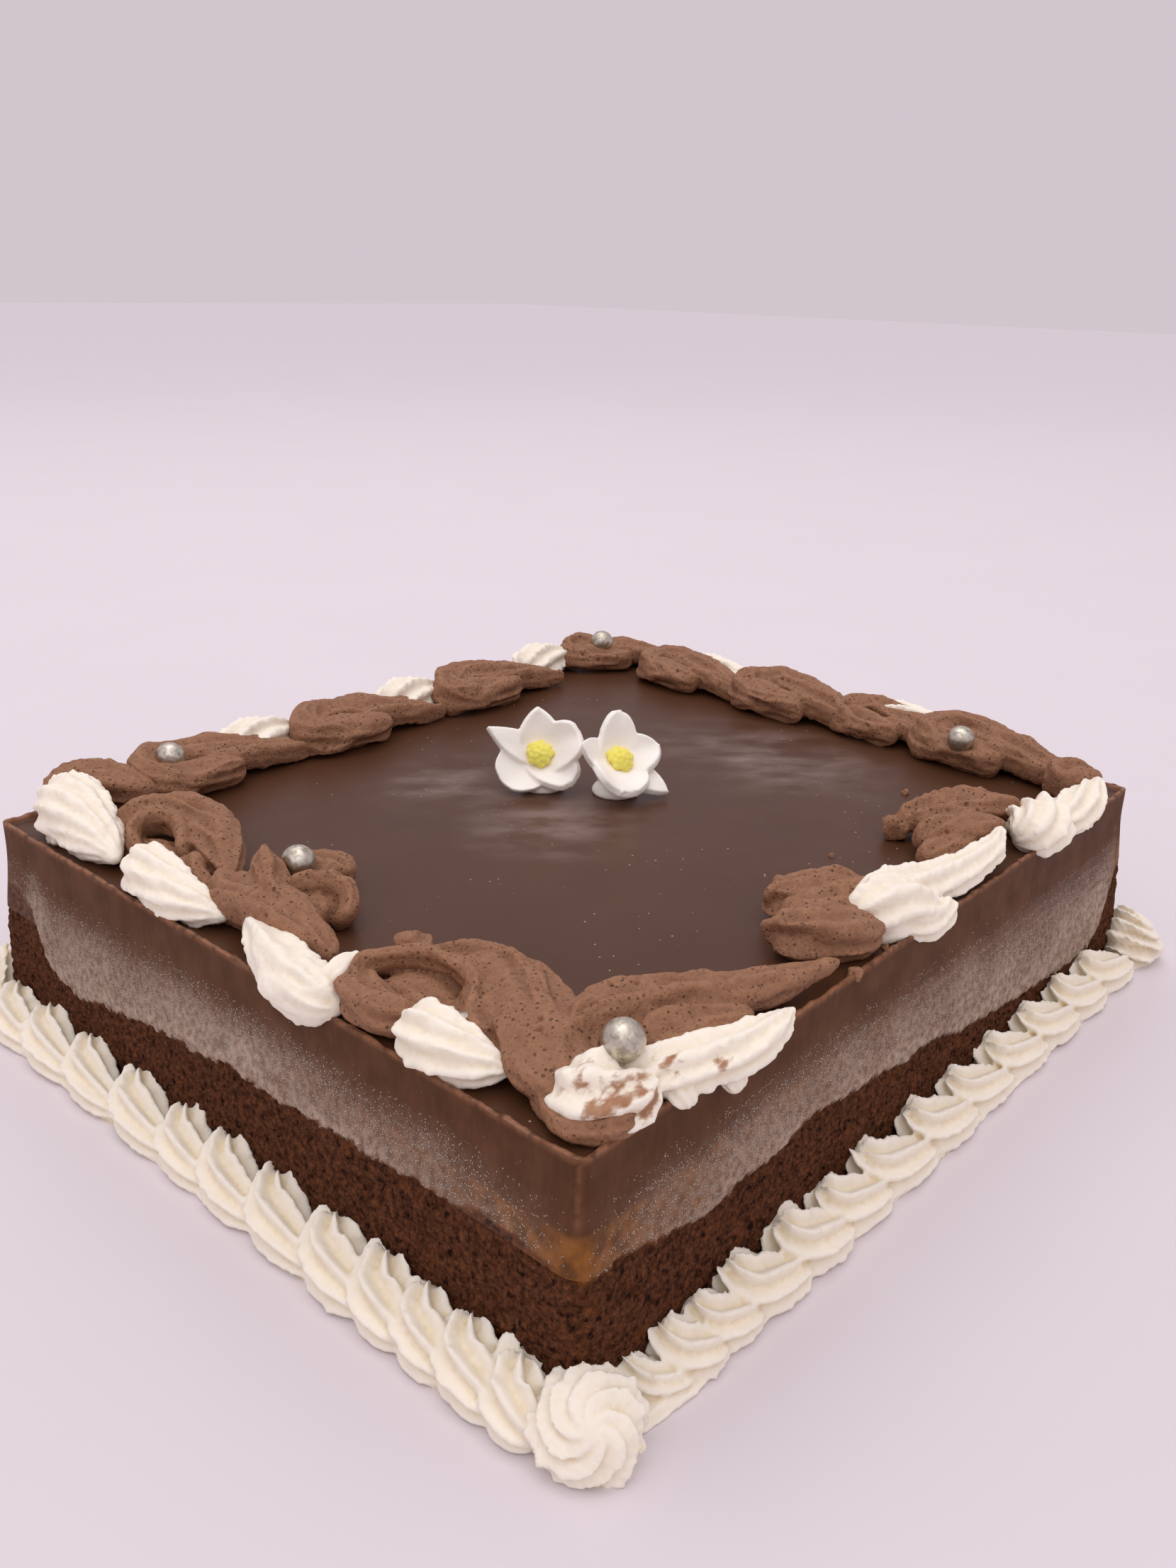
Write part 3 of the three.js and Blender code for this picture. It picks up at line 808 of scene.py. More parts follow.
# Painted shade: where the skin is hollow, in the folds, the cream is darker and yellower
crease_shade = place.add("ShaderNodeNewGeometry", {}, {}, "Pointiness").step(0.52, 0.42)
white = blend(crease_shade, colour(246, 238, 222), colour(234, 219, 184))
near_drag = painted(place, "smear")
streaks = cloud(stretched(place, 0.5, 1, 1), 2.6, 6).step(0.34, 0.68)
dragged = (near_drag * 1.3 + streaks * 1.1 - 0.92).step(0.0, 0.8) * near_drag.step(0.0, 0.2)
drag_colour = blend(cloud(place, 1.6), colour(146, 101, 68), colour(180, 134, 98))
feed(cream_surface, "Base Color", blend(dragged, white, drag_colour))
feed(cream_surface, "Normal", bumped(cloud(place, 0.7, 3), 0.12))
print("finish:", cream_finish.name)

# %% [markdown]
# ## Rope round the foot
#
# The rope is a row of short strokes. Each starts in a crown of peaks against the wall, comes down
# over the foot and runs away to the right, seen from outside, where the next one covers its end.
# The star of the nozzle leaves ridges along each stroke, and the peaks are where the ridges
# begin. The strokes are smaller where the rope begins.

# %% Strokes of the rope
ROPE_NOZZLE = {
    "sides": 96, "ridges": 8, "depth": 0.24, "lobe": 1.1, "twist": 1,
    "blunt": 9, "rag": 0.18, "crown": 3.2,
}
ROPE_VOXEL = 0.5
ROPE_BUMPS = [(5, 0.18), (1.4, 0.09)]
# A stroke's stations: along the wall from its crown, out from the wall's foot, up, and the radius
TURN = [
    (0.4, 1, 7.4, 3.4), (0.8, 1.6, 6.6, 4.4), (1.6, 2.6, 5.7, 5.2), (3.3, 3.9, 4.7, 5.6),
    (6.2, 5.2, 3.9, 5.3), (10, 6.2, 3.1, 4.6), (14.6, 6.7, 2.2, 3.6), (19, 6.6, 1.5, 2),
]
TURN_OVERLAP = 1.12
TURN_STRETCH = 1.2
TURN_UNEVEN = 0.1
TURN_NOISE = 7.3
WALL_SEED = 9.1
# A low flat stroke under the others joins them: out from the wall's foot, up, and the radius
SKIRT_NOZZLE = {"flat": 0.4, "fold": 0.4, "blunt": 12}
SKIRT_OUT = 4.2
SKIRT_UP = 0.6
SKIRT_RADIUS = 5.4
SKIRT_STATIONS = 12
# Where the crowns stand, from the near corner, and how large the strokes are
FRONT_CROWNS = {
    11: 0.62, 19.5: 0.85, 28.5: 0.9, 40: 1, 56.5: 1.02, 72: 1, 88.5: 1,
    109: 1.02, 129: 1, 149: 1, 169: 1, 189: 1, 208: 1,
}
LEFT_CROWNS = {
    8.5: 1.05, 21.5: 1.08, 33: 1.08, 44.5: 1.1, 60.5: 1.05, 80: 1,
    97.5: 1, 114: 1, 134: 1, 156: 1, 176: 1, 192: 0.95,
}
WALLS = {
    "front": {"turn": 0, "half": LENGTH / 2, "away": WIDTH / 2, "crowns": FRONT_CROWNS},
    "right": {"turn": 1, "half": WIDTH / 2, "away": LENGTH / 2, "crowns": LEFT_CROWNS},
    "back": {"turn": 2, "half": LENGTH / 2, "away": WIDTH / 2, "crowns": FRONT_CROWNS},
    "left": {"turn": 3, "half": WIDTH / 2, "away": LENGTH / 2, "crowns": LEFT_CROWNS},
}
print("strokes:", {name: len(wall["crowns"]) for name, wall in WALLS.items()})


# %% Rope
def beside(wall, run, out, up):
    """A place by a wall: along it from its middle, out from its foot, and up."""
    along = Matrix.Rotation(wall["turn"] * math.pi / 2, 3, "Z") @ Vector((1, 0, 0))
    outward = Vector((along.y, -along.x, 0))
    return along * run + outward * (wall["away"] + FOOT_OUT + out) + Vector((0, 0, up))


def rope_turns(wall):
    """Stations of a wall's strokes. Each runs on under the next, and no two are quite alike."""
    half = wall["half"]
    way = 1 if wall["away"] < half else -1
    crowns = sorted((way * (distance - half), size) for distance, size in wall["crowns"].items())
    ends = [crown for crown, _ in crowns[1:]] + [half]
    for (crown, size), end in zip(crowns, ends):
        swell = size * (1 + TURN_UNEVEN * wobble((crown, wall["turn"] * WALL_SEED, 0), TURN_NOISE))
        reach = min(TURN_STRETCH, TURN_OVERLAP * (end - crown) / TURN[-1][0])
        yield [
            (*beside(wall, crown + run * reach, out, up * swell), radius * swell)
            for run, out, up, radius in TURN
        ]


for name, wall in WALLS.items():
    bm = bmesh.new()
    strokes = [(stations, ROPE_NOZZLE) for stations in rope_turns(wall)]
    runs = np.linspace(-wall["half"], wall["half"], SKIRT_STATIONS)
    skirt = [(*beside(wall, run, SKIRT_OUT, SKIRT_UP), SKIRT_RADIUS) for run in runs]
    strokes.append((skirt, SKIRT_NOZZLE))
    for order, (stations, nozzle) in enumerate(strokes):
        for vert in squeeze(bm, stations, nozzle, seed=order + 20 * wall["turn"]):
            vert.co.z = max(vert.co.z, 0)
    bm = one_skin(bm, ROPE_VOXEL, 1)
    roughen(bm, ROPE_BUMPS)
    set_down(bm, "whipped_rope_" + name, cream_finish, "whipped_cream", "base_rope_" + name)

# %% [markdown]
# ## Rosettes at the corners
#
# Each corner of the rope is closed by one round swirl. It leans out over the corner, so its
# arms wind to a middle that faces outwards.

# %% Rosettes
ROSETTE_NOZZLE = {"ridges": 7, "depth": 0.27, "lobe": 0.8, "twist": -4.2, "rag": 0.24, "sides": 112}
ROSETTE_RADIUS = 8.3
ROSETTE_OUT = (3.6, 6.4)
ROSETTE_UP = 4.8
ROSETTE_LEAN = 0.75
# Along the rosette's axis: a place, and the share of the radius there
ROSETTE_PROFILE = [(-8, 1), (-3, 1.05), (3, 0.98), (6.5, 0.8), (8.5, 0.5)]
ROSETTE_VOXEL = 0.4
ROSETTE_BUMPS = [(6, 0.75), (2.2, 0.15), (1.2, 0.08)]
CORNERS = {"front_left": (-1, -1), "front_right": (1, -1), "back_right": (1, 1), "back_left": (-1, 1)}

for corner, (to_x, to_y) in CORNERS.items():
    out_x, out_y = LENGTH / 2 + ROSETTE_OUT[0], WIDTH / 2 + ROSETTE_OUT[1]
    foot = Vector((to_x * out_x, to_y * out_y, ROSETTE_UP))
    lean = Vector((to_x * ROSETTE_LEAN, to_y * ROSETTE_LEAN, 1)).normalized()
    stations = [(*(foot + lean * at), ROSETTE_RADIUS * size) for at, size in ROSETTE_PROFILE]
    bm = bmesh.new()
    for vert in squeeze(bm, stations, ROSETTE_NOZZLE, Vector((to_x, -to_y, 0)), to_x + 2 * to_y):
        vert.co.z = max(vert.co.z, 0)
    bm = one_skin(bm, ROSETTE_VOXEL, 0)
    roughen(bm, ROSETTE_BUMPS)
    set_down(bm, "whipped_rosette_" + corner, cream_finish, "whipped_cream", "base_rosette_" + corner)

# %% [markdown]
# ## Cream shells on top
#
# Short strokes of the same star nozzle, from a fat head to a thin tail. Their crests are sharp
# and finely torn. Where a shell lies on the chocolate it is flat underneath, and where it sticks
# out past the rim it hangs free.

# %% Strokes of the shells
SHELL_NOZZLE = {"lobe": 1.1, "rag": 0.16, "fold": 0.06, "sides": 96}
SHELL_VOXEL = 0.4
SHELL_BUMPS = [(5, 0.5), (2, 0.15), (1.1, 0.1)]
RIM_GAP = 0.3
FAR_SHELL = {"ridges": 8, "depth": 0.12, "twist": 0.8}
# Each shell: its nozzle, and strokes of stations on the top, from the front left corner: along, back,
# up from the rim, and the radius there
CREAM_SHELLS = {
    "front_corner": {"ridges": 7, "depth": 0.13, "twist": 1.1, "flat": 0.85, "strokes": [
        [(14, 16, 3, 5), (12.8, 9.8, 2.8, 8.4), (16, 4.5, 2.8, 6.5), (22, 4, 3, 5)],
        [(18, 8, 3, 5.5), (25, 5, 3.5, 5.6), (33, 1, 3.5, 5.2),
         (42, -2.5, 4.2, 4.6), (50, -3.2, 5, 3.6), (57, -2.8, 5.8, 2)],
        [(27, 2, 2, 3.4), (26.3, -0.4, -0.4, 2.8), (26, -1.2, -2.2, 1.7)],
        [(38, -1.5, 2, 3.2), (37.6, -3.2, -0.6, 2.6), (37.4, -4, -2.9, 1.6)],
    ]},
    "left_1": {"ridges": 8, "depth": 0.15, "twist": 1.2, "strokes": [
        [(6.5, 48.5, 4, 4), (5.5, 44.5, 3.5, 6), (5, 36.5, 3, 5.6),
         (6, 29.5, 2.6, 4.6), (9, 24, 2.4, 2)],
    ]},
    "left_2": {"ridges": 5, "depth": 0.1, "twist": 0.7, "fold": 0.2, "strokes": [
        [(2.5, 63.5, 1.5, 3.5), (1, 69, 1.5, 5.6), (1.5, 79, 2, 5.8),
         (4.5, 90, 3, 4.6), (8.5, 101, 3.5, 2.6), (12, 112, 3, 1.2)],
        [(3, 70, 4, 3), (8, 70.5, 5.5, 2.2), (12.5, 71, 7, 1)],
    ]},
    "left_3": {"ridges": 8, "depth": 0.12, "twist": 2, "fold": 0.1, "strokes": [
        [(12, 144, 5.5, 4.5), (8.5, 143, 4, 6), (6, 136, 3.5, 6.2),
         (5, 126, 3, 5.5), (5.5, 117, 2.5, 4.5), (7.5, 109.5, 2.5, 2.2)],
    ]},
    "left_corner": {"ridges": 11, "depth": 0.07, "twist": 1.6, "fold": 0.1, "strokes": [
        [(12, 192, 4, 6.5), (11.5, 185, 5, 9.3), (9.5, 173, 4.5, 8),
         (7.5, 162, 3.5, 5.5), (6, 152.5, 2.5, 2.5)],
    ]},
    "front_1": {"ridges": 7, "depth": 0.13, "twist": 0.8, "strokes": [
        [(104, 13, 4, 4.5), (107, 11, 5, 6.5), (117, 8.5, 4.5, 6), (130, 6, 4, 4.8),
         (143, 4.2, 4.2, 4.1), (156, 4.5, 5, 3.5), (166, 7.5, 6.5, 2.2)],
        [(99, 11, 3, 4.5), (103, 9, 4.5, 6.5), (110, 6, 4.5, 6.8),
         (116, 2, 3, 5.5), (119, -1.5, 1.5, 3.4)],
        [(108, 4, 2, 4), (114, 0.5, 1, 4), (121, -1, 2, 3.2), (125, 0.5, 3, 2)],
    ]},
    "right_corner": {"ridges": 8, "depth": 0.14, "twist": 2, "flat": 0.95, "strokes": [
        [(171, 6, 2, 4), (175, 3.5, 3.5, 7), (181, 3.5, 4, 8), (187, 5, 4, 6.5)],
        [(184, 2, 4, 6), (193, 0.5, 4.5, 6), (203, 0.5, 5, 5), (212, 1.5, 6, 3), (217, 2.5, 7, 1.2)],
    ]},
    "back_1": {**FAR_SHELL, "strokes": [[(64, 195, 3.5, 6), (74, 196, 4, 7), (92, 198, 3, 4)]]},
    "back_2": {**FAR_SHELL, "strokes": [[(122, 195, 3.5, 6), (132, 196, 4, 7), (150, 198, 3, 4)]]},
    "back_3": {**FAR_SHELL, "strokes": [[(184, 195, 3.5, 6), (194, 196, 4, 7), (211, 198, 3, 4)]]},
    "right_1": {**FAR_SHELL, "strokes": [[(232, 157, 3, 5), (232, 146, 3, 6.2), (233, 128, 2.5, 4)]]},
    "right_2": {**FAR_SHELL, "strokes": [[(232, 82, 3, 5), (232, 71, 3, 6.2), (233, 53, 2.5, 4)]]},
}
# Where chocolate was dragged over the cream: a place on the top and how far it reaches
DRAGGED = {"front_corner": [(11, 5, 5, 9), (16, 1, 4, 6.5), (25, 2, 7, 4), (33, -2.5, 5, 3.5)]}
print("shells:", len(CREAM_SHELLS))


# %% Shells
def on_top(x, y, z):
    """A place measured from the rim's front left corner, in the cake's own frame."""
    return Vector((x - LENGTH / 2, y - WIDTH / 2, z + CAKE_HEIGHT))


def top_stroke(bm, stations, nozzle, seed):
    """A stroke on the top. It is flat where the chocolate carries it."""
    placed = [(*on_top(x, y, z), radius) for x, y, z, radius in stations]
    for vert in squeeze(bm, placed, nozzle, seed=seed):
        inside = abs(vert.co.x) < LENGTH / 2 + RIM_GAP and abs(vert.co.y) < WIDTH / 2 + RIM_GAP
        if inside:
            vert.co.z = max(vert.co.z, TOP)


for order, (name, shell) in enumerate(CREAM_SHELLS.items()):
    bm = bmesh.new()
    for stroke in shell["strokes"]:
        top_stroke(bm, stroke, {**SHELL_NOZZLE, **shell}, order)
    bm = one_skin(bm, SHELL_VOXEL, 1)
    roughen(bm, SHELL_BUMPS)
    smear = bm.verts.layers.float.new("smear")
    for x, y, z, reach in DRAGGED.get(name, []):
        for vert in bm.verts:
            vert[smear] = max(vert[smear], 1 - (vert.co - on_top(x, y, z)).length / reach)
    set_down(bm, "whipped_shell_" + name, cream_finish, "whipped_cream", "cream_shell_" + name)

# %% [markdown]
# ## Chocolate cream scrolls
#
# The scrolls are a lighter, airy chocolate cream: matte, with rolled lips and many pinholes where
# bubbles burst. Broad strokes give the bodies and curls give the rolled lips. The larger holes are
# pressed into the mesh and the fine ones are left to the shader. The shader paints the pinholes,
# the creases and the hollows darker, as painted shade.

# %% Chocolate cream finish
scroll_finish, scroll_surface, place = new_finish(
    "chocolate_cream", Roughness=0.68, Specular_IOR_Level=0.3
)
crease_shade = place.add("ShaderNodeNewGeometry", {}, {}, "Pointiness").step(0.53, 0.42)
cream = blend(cloud(place, 5, 3), colour(143, 101, 73), colour(168, 125, 95))
cream = blend(cloud(place, 0.9, 4).step(0.3, 0.7) * 0.35, cream, colour(120, 80, 57))
# Painted shade: the creases and hollows of the skin are darker
cream = blend(crease_shade * 0.75, cream, colour(92, 58, 39))
pinhole = (1 - cells(place, 1.6).step(0.1, 0.22)) * cloud(place, 5).step(0.36, 0.5)
small_pinhole = (1 - cells(place, 0.8).step(0.12, 0.28)) * cloud(place, 3).step(0.4, 0.58)
holes = pinhole + small_pinhole * 0.5
# Painted shade: the pinholes are dark inside
cream = blend(holes * 0.55, cream, colour(70, 43, 29))
feed(scroll_surface, "Base Color", cream)
feed(scroll_surface, "Normal", bumped(cloud(place, 0.6, 3) * 0.6 - holes, 0.45))
print("finish:", scroll_finish.name)

# %% Strokes of the scrolls
SCROLL_NOZZLES = {
    "body": {"ridges": 3, "depth": 0.1, "lobe": 1.3, "twist": 1.5, "blunt": 4, "rag": 0.1, "fold": 0.3},
    "slab": {"flat": 0.62, "blunt": 4, "fold": 0.25},
    "flap": {"ridges": 2, "rag": 0.3, "fold": 0.25, "flat": 2.1, "blunt": 8, "sides": 32},
}
SCROLL_VOXEL = 0.46
SCROLL_BUMPS = [(7, 0.5), (2.6, 0.22), (1.0, 0.08)]


def comma(x, y, heading, size):
    """A scroll that curls in at its head, with a rolled ear inside it and a crest along its tail."""
    turn = math.radians(heading)

    def placed(run, inward, z, radius):
        to_x = run * math.cos(turn) + inward * math.sin(turn)
        to_y = run * math.sin(turn) - inward * math.cos(turn)
        return (x + size * to_x, y + size * to_y, z * size, radius * size)

    body = [(4, 14, 3.5, 4.5), (-7, 7, 4.5, 6), (0, -2, 6, 5), (20, 2, 4.5, 5.5), (41, 7, 3, 3)]
    ear = [(-7, 8, 4, 5), (6, 11, 4, 5), (19, 11, 3.5, 4.5)]
    hood = [
        (-3, 14, 4.5, 1.4), (-10, 8, 5.5, 1.7), (-6, 0, 6.8, 1.8), (4, -3, 6.6, 1.8), (14, 1, 5.5, 1.7),
    ]
    crest = [(9, 7, 4, 1.6), (19, 8, 4.8, 1.8), (32, 9.5, 3.2, 1.6), (43, 10, 1.5, 1.2)]
    return {
        "body": [[placed(*station) for station in part] for part in (body, ear)],
        "flap": [[placed(*station) for station in part] for part in (hood, crest)],
    }


# Each scroll: its bodies, slabs and flaps, with stations as for the shells
SCROLLS = {
    "left_1": {
        "body": [
            [(9, 49, 2.5, 3.5), (5, 54, 3, 4.5), (5, 62, 3.5, 4.6), (10, 66.5, 3.5, 4)],
            [(18, 47, 1.5, 5), (14.5, 40, 2.5, 5), (12.5, 32, 2.5, 5)],
            [(8.5, 18, 1.5, 3.4), (6, 9.5, 1, 3.2), (7.5, 4.5, 1, 3.2), (12.5, 2, 1, 3), (21, 1, 1, 2)],
            [(22, 66, 3, 5), (28, 72, 2.5, 3.8)],
            [(28, 49, 3, 6.5), (36, 49, 2.5, 3.8)],
        ],
        "slab": [
            [(8, 62, 0.6, 5), (13, 56, 1.2, 7.5), (15, 47, 1.4, 7)],
            [(20, 67, 3, 6), (26, 58, 3.5, 7.2), (28, 48, 4, 8), (24, 37, 4.5, 8.8),
             (17.5, 26, 4.5, 8.8), (12, 17, 4, 7.6), (8.5, 11, 2, 6)],
        ],
        "flap": [
            [(5.5, 63, 4, 1.8), (9.5, 67.5, 5, 1.9), (14, 65.5, 5.8, 1.9), (19, 60, 6.4, 2),
             (21, 52, 6.6, 2), (19.5, 44.5, 6, 2), (16, 41, 4.8, 1.8), (12.5, 40.3, 3.5, 1.6)],
            [(22, 62, 5, 1.5), (30, 52, 6, 1.8), (29, 42, 6.5, 1.8),
             (22, 31, 7, 1.8), (16, 22, 6.5, 1.6)],
        ],
    },
    "front_1": {
        "body": [
            [(17, 16, 3, 5.5), (24, 22, 4, 5.8), (37, 19, 4.5, 5.8),
             (52, 11, 4.2, 4.8), (67, 6, 3.5, 3.6), (83, 3, 3, 2)],
            [(30, 13, 3, 4), (38, 10, 4.2, 4.2), (46, 6, 3.8, 3.5), (53, 4, 3, 2.4)],
        ],
        "flap": [
            [(18, 18, 4, 1.8), (24, 20.5, 5.7, 2), (31, 18.5, 6.2, 2), (41, 14.5, 6, 2),
             (52, 9.5, 5, 1.9), (64, 5.8, 4, 1.6), (74, 3.8, 3, 1.2)],
        ],
    },
    "left_2": {
        "body": [
            [(11, 124, 2, 3.5), (13, 114, 3, 5.5), (14, 99, 3, 6), (13, 80, 2, 4)],
            [(15, 103, 3.5, 5.5), (18, 109, 6, 4.8), (20.5, 113.5, 9, 3.2), (22.5, 116.5, 12, 1.4)],
            [(20, 104, 1, 3.5), (23.5, 99, 0.5, 4.2), (24, 95.5, 0, 3.8)],
            [(25, 107, 2.5, 4.5), (31, 112.5, 3, 5), (36, 110.5, 3, 5), (37.5, 105.5, 2.5, 4.5)],
            [(12, 116, 4, 4), (14, 121, 5, 2.5), (14.8, 124, 7, 1)],
        ],
        "flap": [
            [(18.5, 106.5, 4, 1.6), (22, 104.8, 4.8, 1.9), (25.5, 103.2, 5, 2.2), (28.5, 100.5, 4.4, 2.4),
             (28.6, 96.5, 3.2, 2.4), (26.5, 93.5, 2, 2.2), (23, 92.5, 1, 1.9)],
            [(14, 100, 5, 1.6), (16, 106, 7, 1.9), (19.5, 112, 10, 1.6), (22, 116, 12.5, 0.8)],
            [(8, 118, 3.5, 1.5), (8.5, 106, 5, 1.8), (9, 94, 5, 1.8), (10, 84, 3, 1.5)],
        ],
    },
    "left_3": {
        "body": [
            [(14, 168, 3, 4.5), (22, 166, 4, 5.5), (29, 156, 4, 6),
             (25, 140, 3.8, 6), (18, 124, 2.5, 3.5)],
            [(29, 171, 3, 4), (31, 163, 4, 4.8), (29.5, 153, 4.5, 4.5)],
            [(13, 163, 2, 3), (14, 157, 1, 3), (17, 150, 0.5, 3.5), (17, 143, 1, 3)],
            [(15, 136, 4, 4.5), (11, 129, 3.2, 4), (12.5, 123, 2, 3)],
        ],
        "flap": [
            [(10.5, 150, 4, 1.6), (12.5, 156, 5, 1.8), (16.5, 159.3, 5.6, 1.9), (20.5, 157.5, 6.2, 1.9),
             (21.8, 151.5, 6.4, 1.9), (19.8, 145.5, 5.8, 1.9), (15.5, 140, 4.6, 1.7)],
            [(22, 170, 4, 1.5), (30, 167, 5, 1.7), (34, 160, 5.2, 1.7),
             (32.5, 149, 5.4, 1.7), (28, 138, 4.5, 1.5)],
        ],
    },
    "left_corner": {
        "body": [[(10, 195, 3, 5), (18, 195, 5, 6), (27, 189, 5, 6), (31, 179, 4, 5)]],
        "flap": [
            [(12, 197.5, 5.5, 1.6), (19, 198.5, 7.8, 1.8), (26.5, 193.5, 7.8, 1.9), (30, 184, 6, 1.7)],
        ],
    },
    "front_2": {
        "body": [
            [(98, 30, 3, 4), (96, 25, 4.2, 5.3), (100, 21, 4.5, 6),
             (107, 17, 4.5, 6), (115, 14, 4, 5.5)],
            [(84, 20, 3, 5), (86, 14, 4, 6.3), (92, 8, 4, 6), (101, 4, 3, 4.5)],
            [(90, 23, 3, 5.5), (94, 16, 3.2, 6), (104, 11, 3.5, 5)],
            [(101, 27, 4, 4), (98.5, 31, 4, 3.8)],
        ],
        "flap": [
            [(92, 28, 4, 1.7), (97, 26.5, 5.8, 1.9), (102, 23, 6.6, 2),
             (107, 19, 6.6, 2), (112, 15, 5, 1.8)],
            [(81, 21, 3, 1.5), (83, 17, 5, 1.7), (87, 14, 5.8, 1.7), (92, 12, 6.4, 1.6)],
        ],
    },
    "front_3": {
        "body": [
            [(157, 31, 3, 4), (164, 28, 4.3, 5), (174, 22, 4.8, 5.4),
             (182, 16, 4.2, 5), (190, 13, 3.2, 4)],
            [(150, 22, 2.5, 4), (156, 19, 3.8, 5), (164, 14, 4, 5), (173, 10, 3, 4.5)],
            [(154, 30, 1.5, 3.3), (159, 32.5, 1.5, 3.5)],
            [(159, 27, 2, 5), (165, 20, 2.5, 6.3), (171, 13, 2, 5.5)],
            [(143, 17, 1.5, 3), (152, 15, 2, 4), (162, 13, 2, 4)],
        ],
        "flap": [
            [(159, 31, 4, 1.6), (167, 28, 5.8, 1.9), (175, 22.5, 6.4, 2), (183, 16, 5, 1.8)],
        ],
    },
    "back_1": comma(43, 194, 0, 1),
    "back_2": comma(96, 194, 0, 1),
    "back_3": comma(152, 194, 0, 1),
    "back_corner": comma(219, 196, -40, 0.85),
    "right_1": comma(228, 160, -90, 0.9),
    "right_2": comma(228, 118, -90, 1),
    "right_3": comma(229, 82, -90, 0.85),
    "right_4": comma(228, 50, -90, 1),
    "front_corner": {"body": [[(212, 13, 2.5, 5.5), (220, 11.5, 3.5, 6), (227, 6, 2, 4)]]},
}
print("scrolls:", len(SCROLLS))

# %% Scrolls
BUBBLE_SPACING = 3.2
BUBBLE_SIZE = (0.3, 0.9)
BUBBLE_DEPTH = 0.55
# Bubbles come in patches: where the noise is over one level they begin, and over another all show
BUBBLE_PATCHES = (0.05, 0.3)


def burst_bubbles(bm):
    """Presses the larger pinholes into a skin."""
    for vert in bm.verts:
        distance = noise.voronoi(vert.co / BUBBLE_SPACING)[0][0] * BUBBLE_SPACING
        gate = ease(wobble(vert.co, 7, 4), *BUBBLE_PATCHES)
        vert.co -= vert.normal * BUBBLE_DEPTH * gate * (1 - ease(distance, *BUBBLE_SIZE))


for order, (name, scroll) in enumerate(SCROLLS.items()):
    bm = bmesh.new()
    for kind, strokes in scroll.items():
        for stroke in strokes:
            top_stroke(bm, stroke, SCROLL_NOZZLES[kind], order)
    bm = one_skin(bm, SCROLL_VOXEL, 2)
    roughen(bm, SCROLL_BUMPS)
    burst_bubbles(bm)
    set_down(bm, "cream_scroll_" + name, scroll_finish, "chocolate_cream", "chocolate_scroll_" + name)

# %% Crumbs
# Bits of the scrolls that fell on the top and the rim: a place, a height and a size
CRUMBS = [
    (86, 0.8, -0.5, 1.5), (88.2, 1.6, -0.8, 0.9), (94, 0.6, -0.8, 0.7), (101.5, 2.4, -1, 0.9),
    (135, 37, -1, 0.7), (187, 45, -0.9, 1), (122.5, 0.4, -0.6, 1.1), (125, 1.4, -0.9, 0.7),
    (62, 3.5, -0.8, 0.8),
]
CRUMB_BUMPS = [(1.1, 0.6, 0)]

bm = bmesh.new()
for x, y, z, size in CRUMBS:
    spot = on_top(x, y, z)
    ball = bmesh.ops.create_icosphere(bm, subdivisions=3, radius=size, matrix=Matrix.Translation(spot))
    for vert in ball["verts"]:
        vert.co = spot + (vert.co - spot) * (1 + uneven(vert.co, CRUMB_BUMPS))
set_down(bm, "cream_crumbs", scroll_finish, "chocolate_cream")

# %% [markdown]
# ## Silver pearls
#
# Sugar pearls with a thin silver coat. The coat is uneven: dull in places and worn to a darker
# metal in others, so the finish is metal with a mottled colour and gloss, and the ball itself is
# not quite round.

# %% Pearls
PEARL_RADIUS = 4
PEARLS = [
    (20, 8.5, 10.5), (27.5, 111, 8.5), (43.5, 189.5, 9), (219, 187.5, 9), (214, 43, 9), (10.8, 38.6, 3),
]
# Bump size and share of the radius
PEARL_DENTS = [(3, 0.012), (1, 0.006)]

pearl_finish, pearl_surface, place = new_finish("mottled_silver", Metallic=1.0)
worn = cloud(place, 1.5, 5).step(0.42, 0.66)
silver = blend(worn, colour(206, 200, 186), colour(168, 160, 144))
silver = blend((1 - cells(place, 0.7).step(0.1, 0.3)) * worn * 0.6, silver, colour(120, 112, 98))
feed(pearl_surface, "Base Color", silver)
feed(pearl_surface, "Roughness", worn * 0.12 + 0.34)
feed(pearl_surface, "Normal", bumped(cloud(place, 0.8, 4), 0.05))

for order, (x, y, z) in enumerate(PEARLS, 1):
    bm = bmesh.new()
    bmesh.ops.create_icosphere(bm, subdivisions=5, radius=PEARL_RADIUS)
    for vert in bm.verts:
        vert.co *= 1 + uneven(vert.co, [(*dent, order) for dent in PEARL_DENTS])
    bmesh.ops.translate(bm, vec=on_top(x, y, z), verts=bm.verts)
    set_down(bm, f"silvered_pearl_{order}", pearl_finish, "silver_pearl", f"silver_pearl_{order}")

# %% [markdown]
# ## Sugar flowers
#
# Two flowers of white sugar paste lean towards the front corner. A petal is a small sheet: it is
# cut wide in the middle and narrow at its tip, cupped, and given the thickness of the paste.

# %% Petals
PETAL_LENGTH = 12.8
PETAL_WIDTH = 6.4
PETAL_LIFT = 4.5
PETAL_THICK = 2.2
PETAL_NECK = 0.16
PETAL_CUP = 0.3
PETAL_DIP = 2
PETAL_FRILLS = [(7, 1.4, 0)]
BUD_RADIUS = 5
BUD_DOWN = 3.5
FLOWER_VOXEL = 0.35
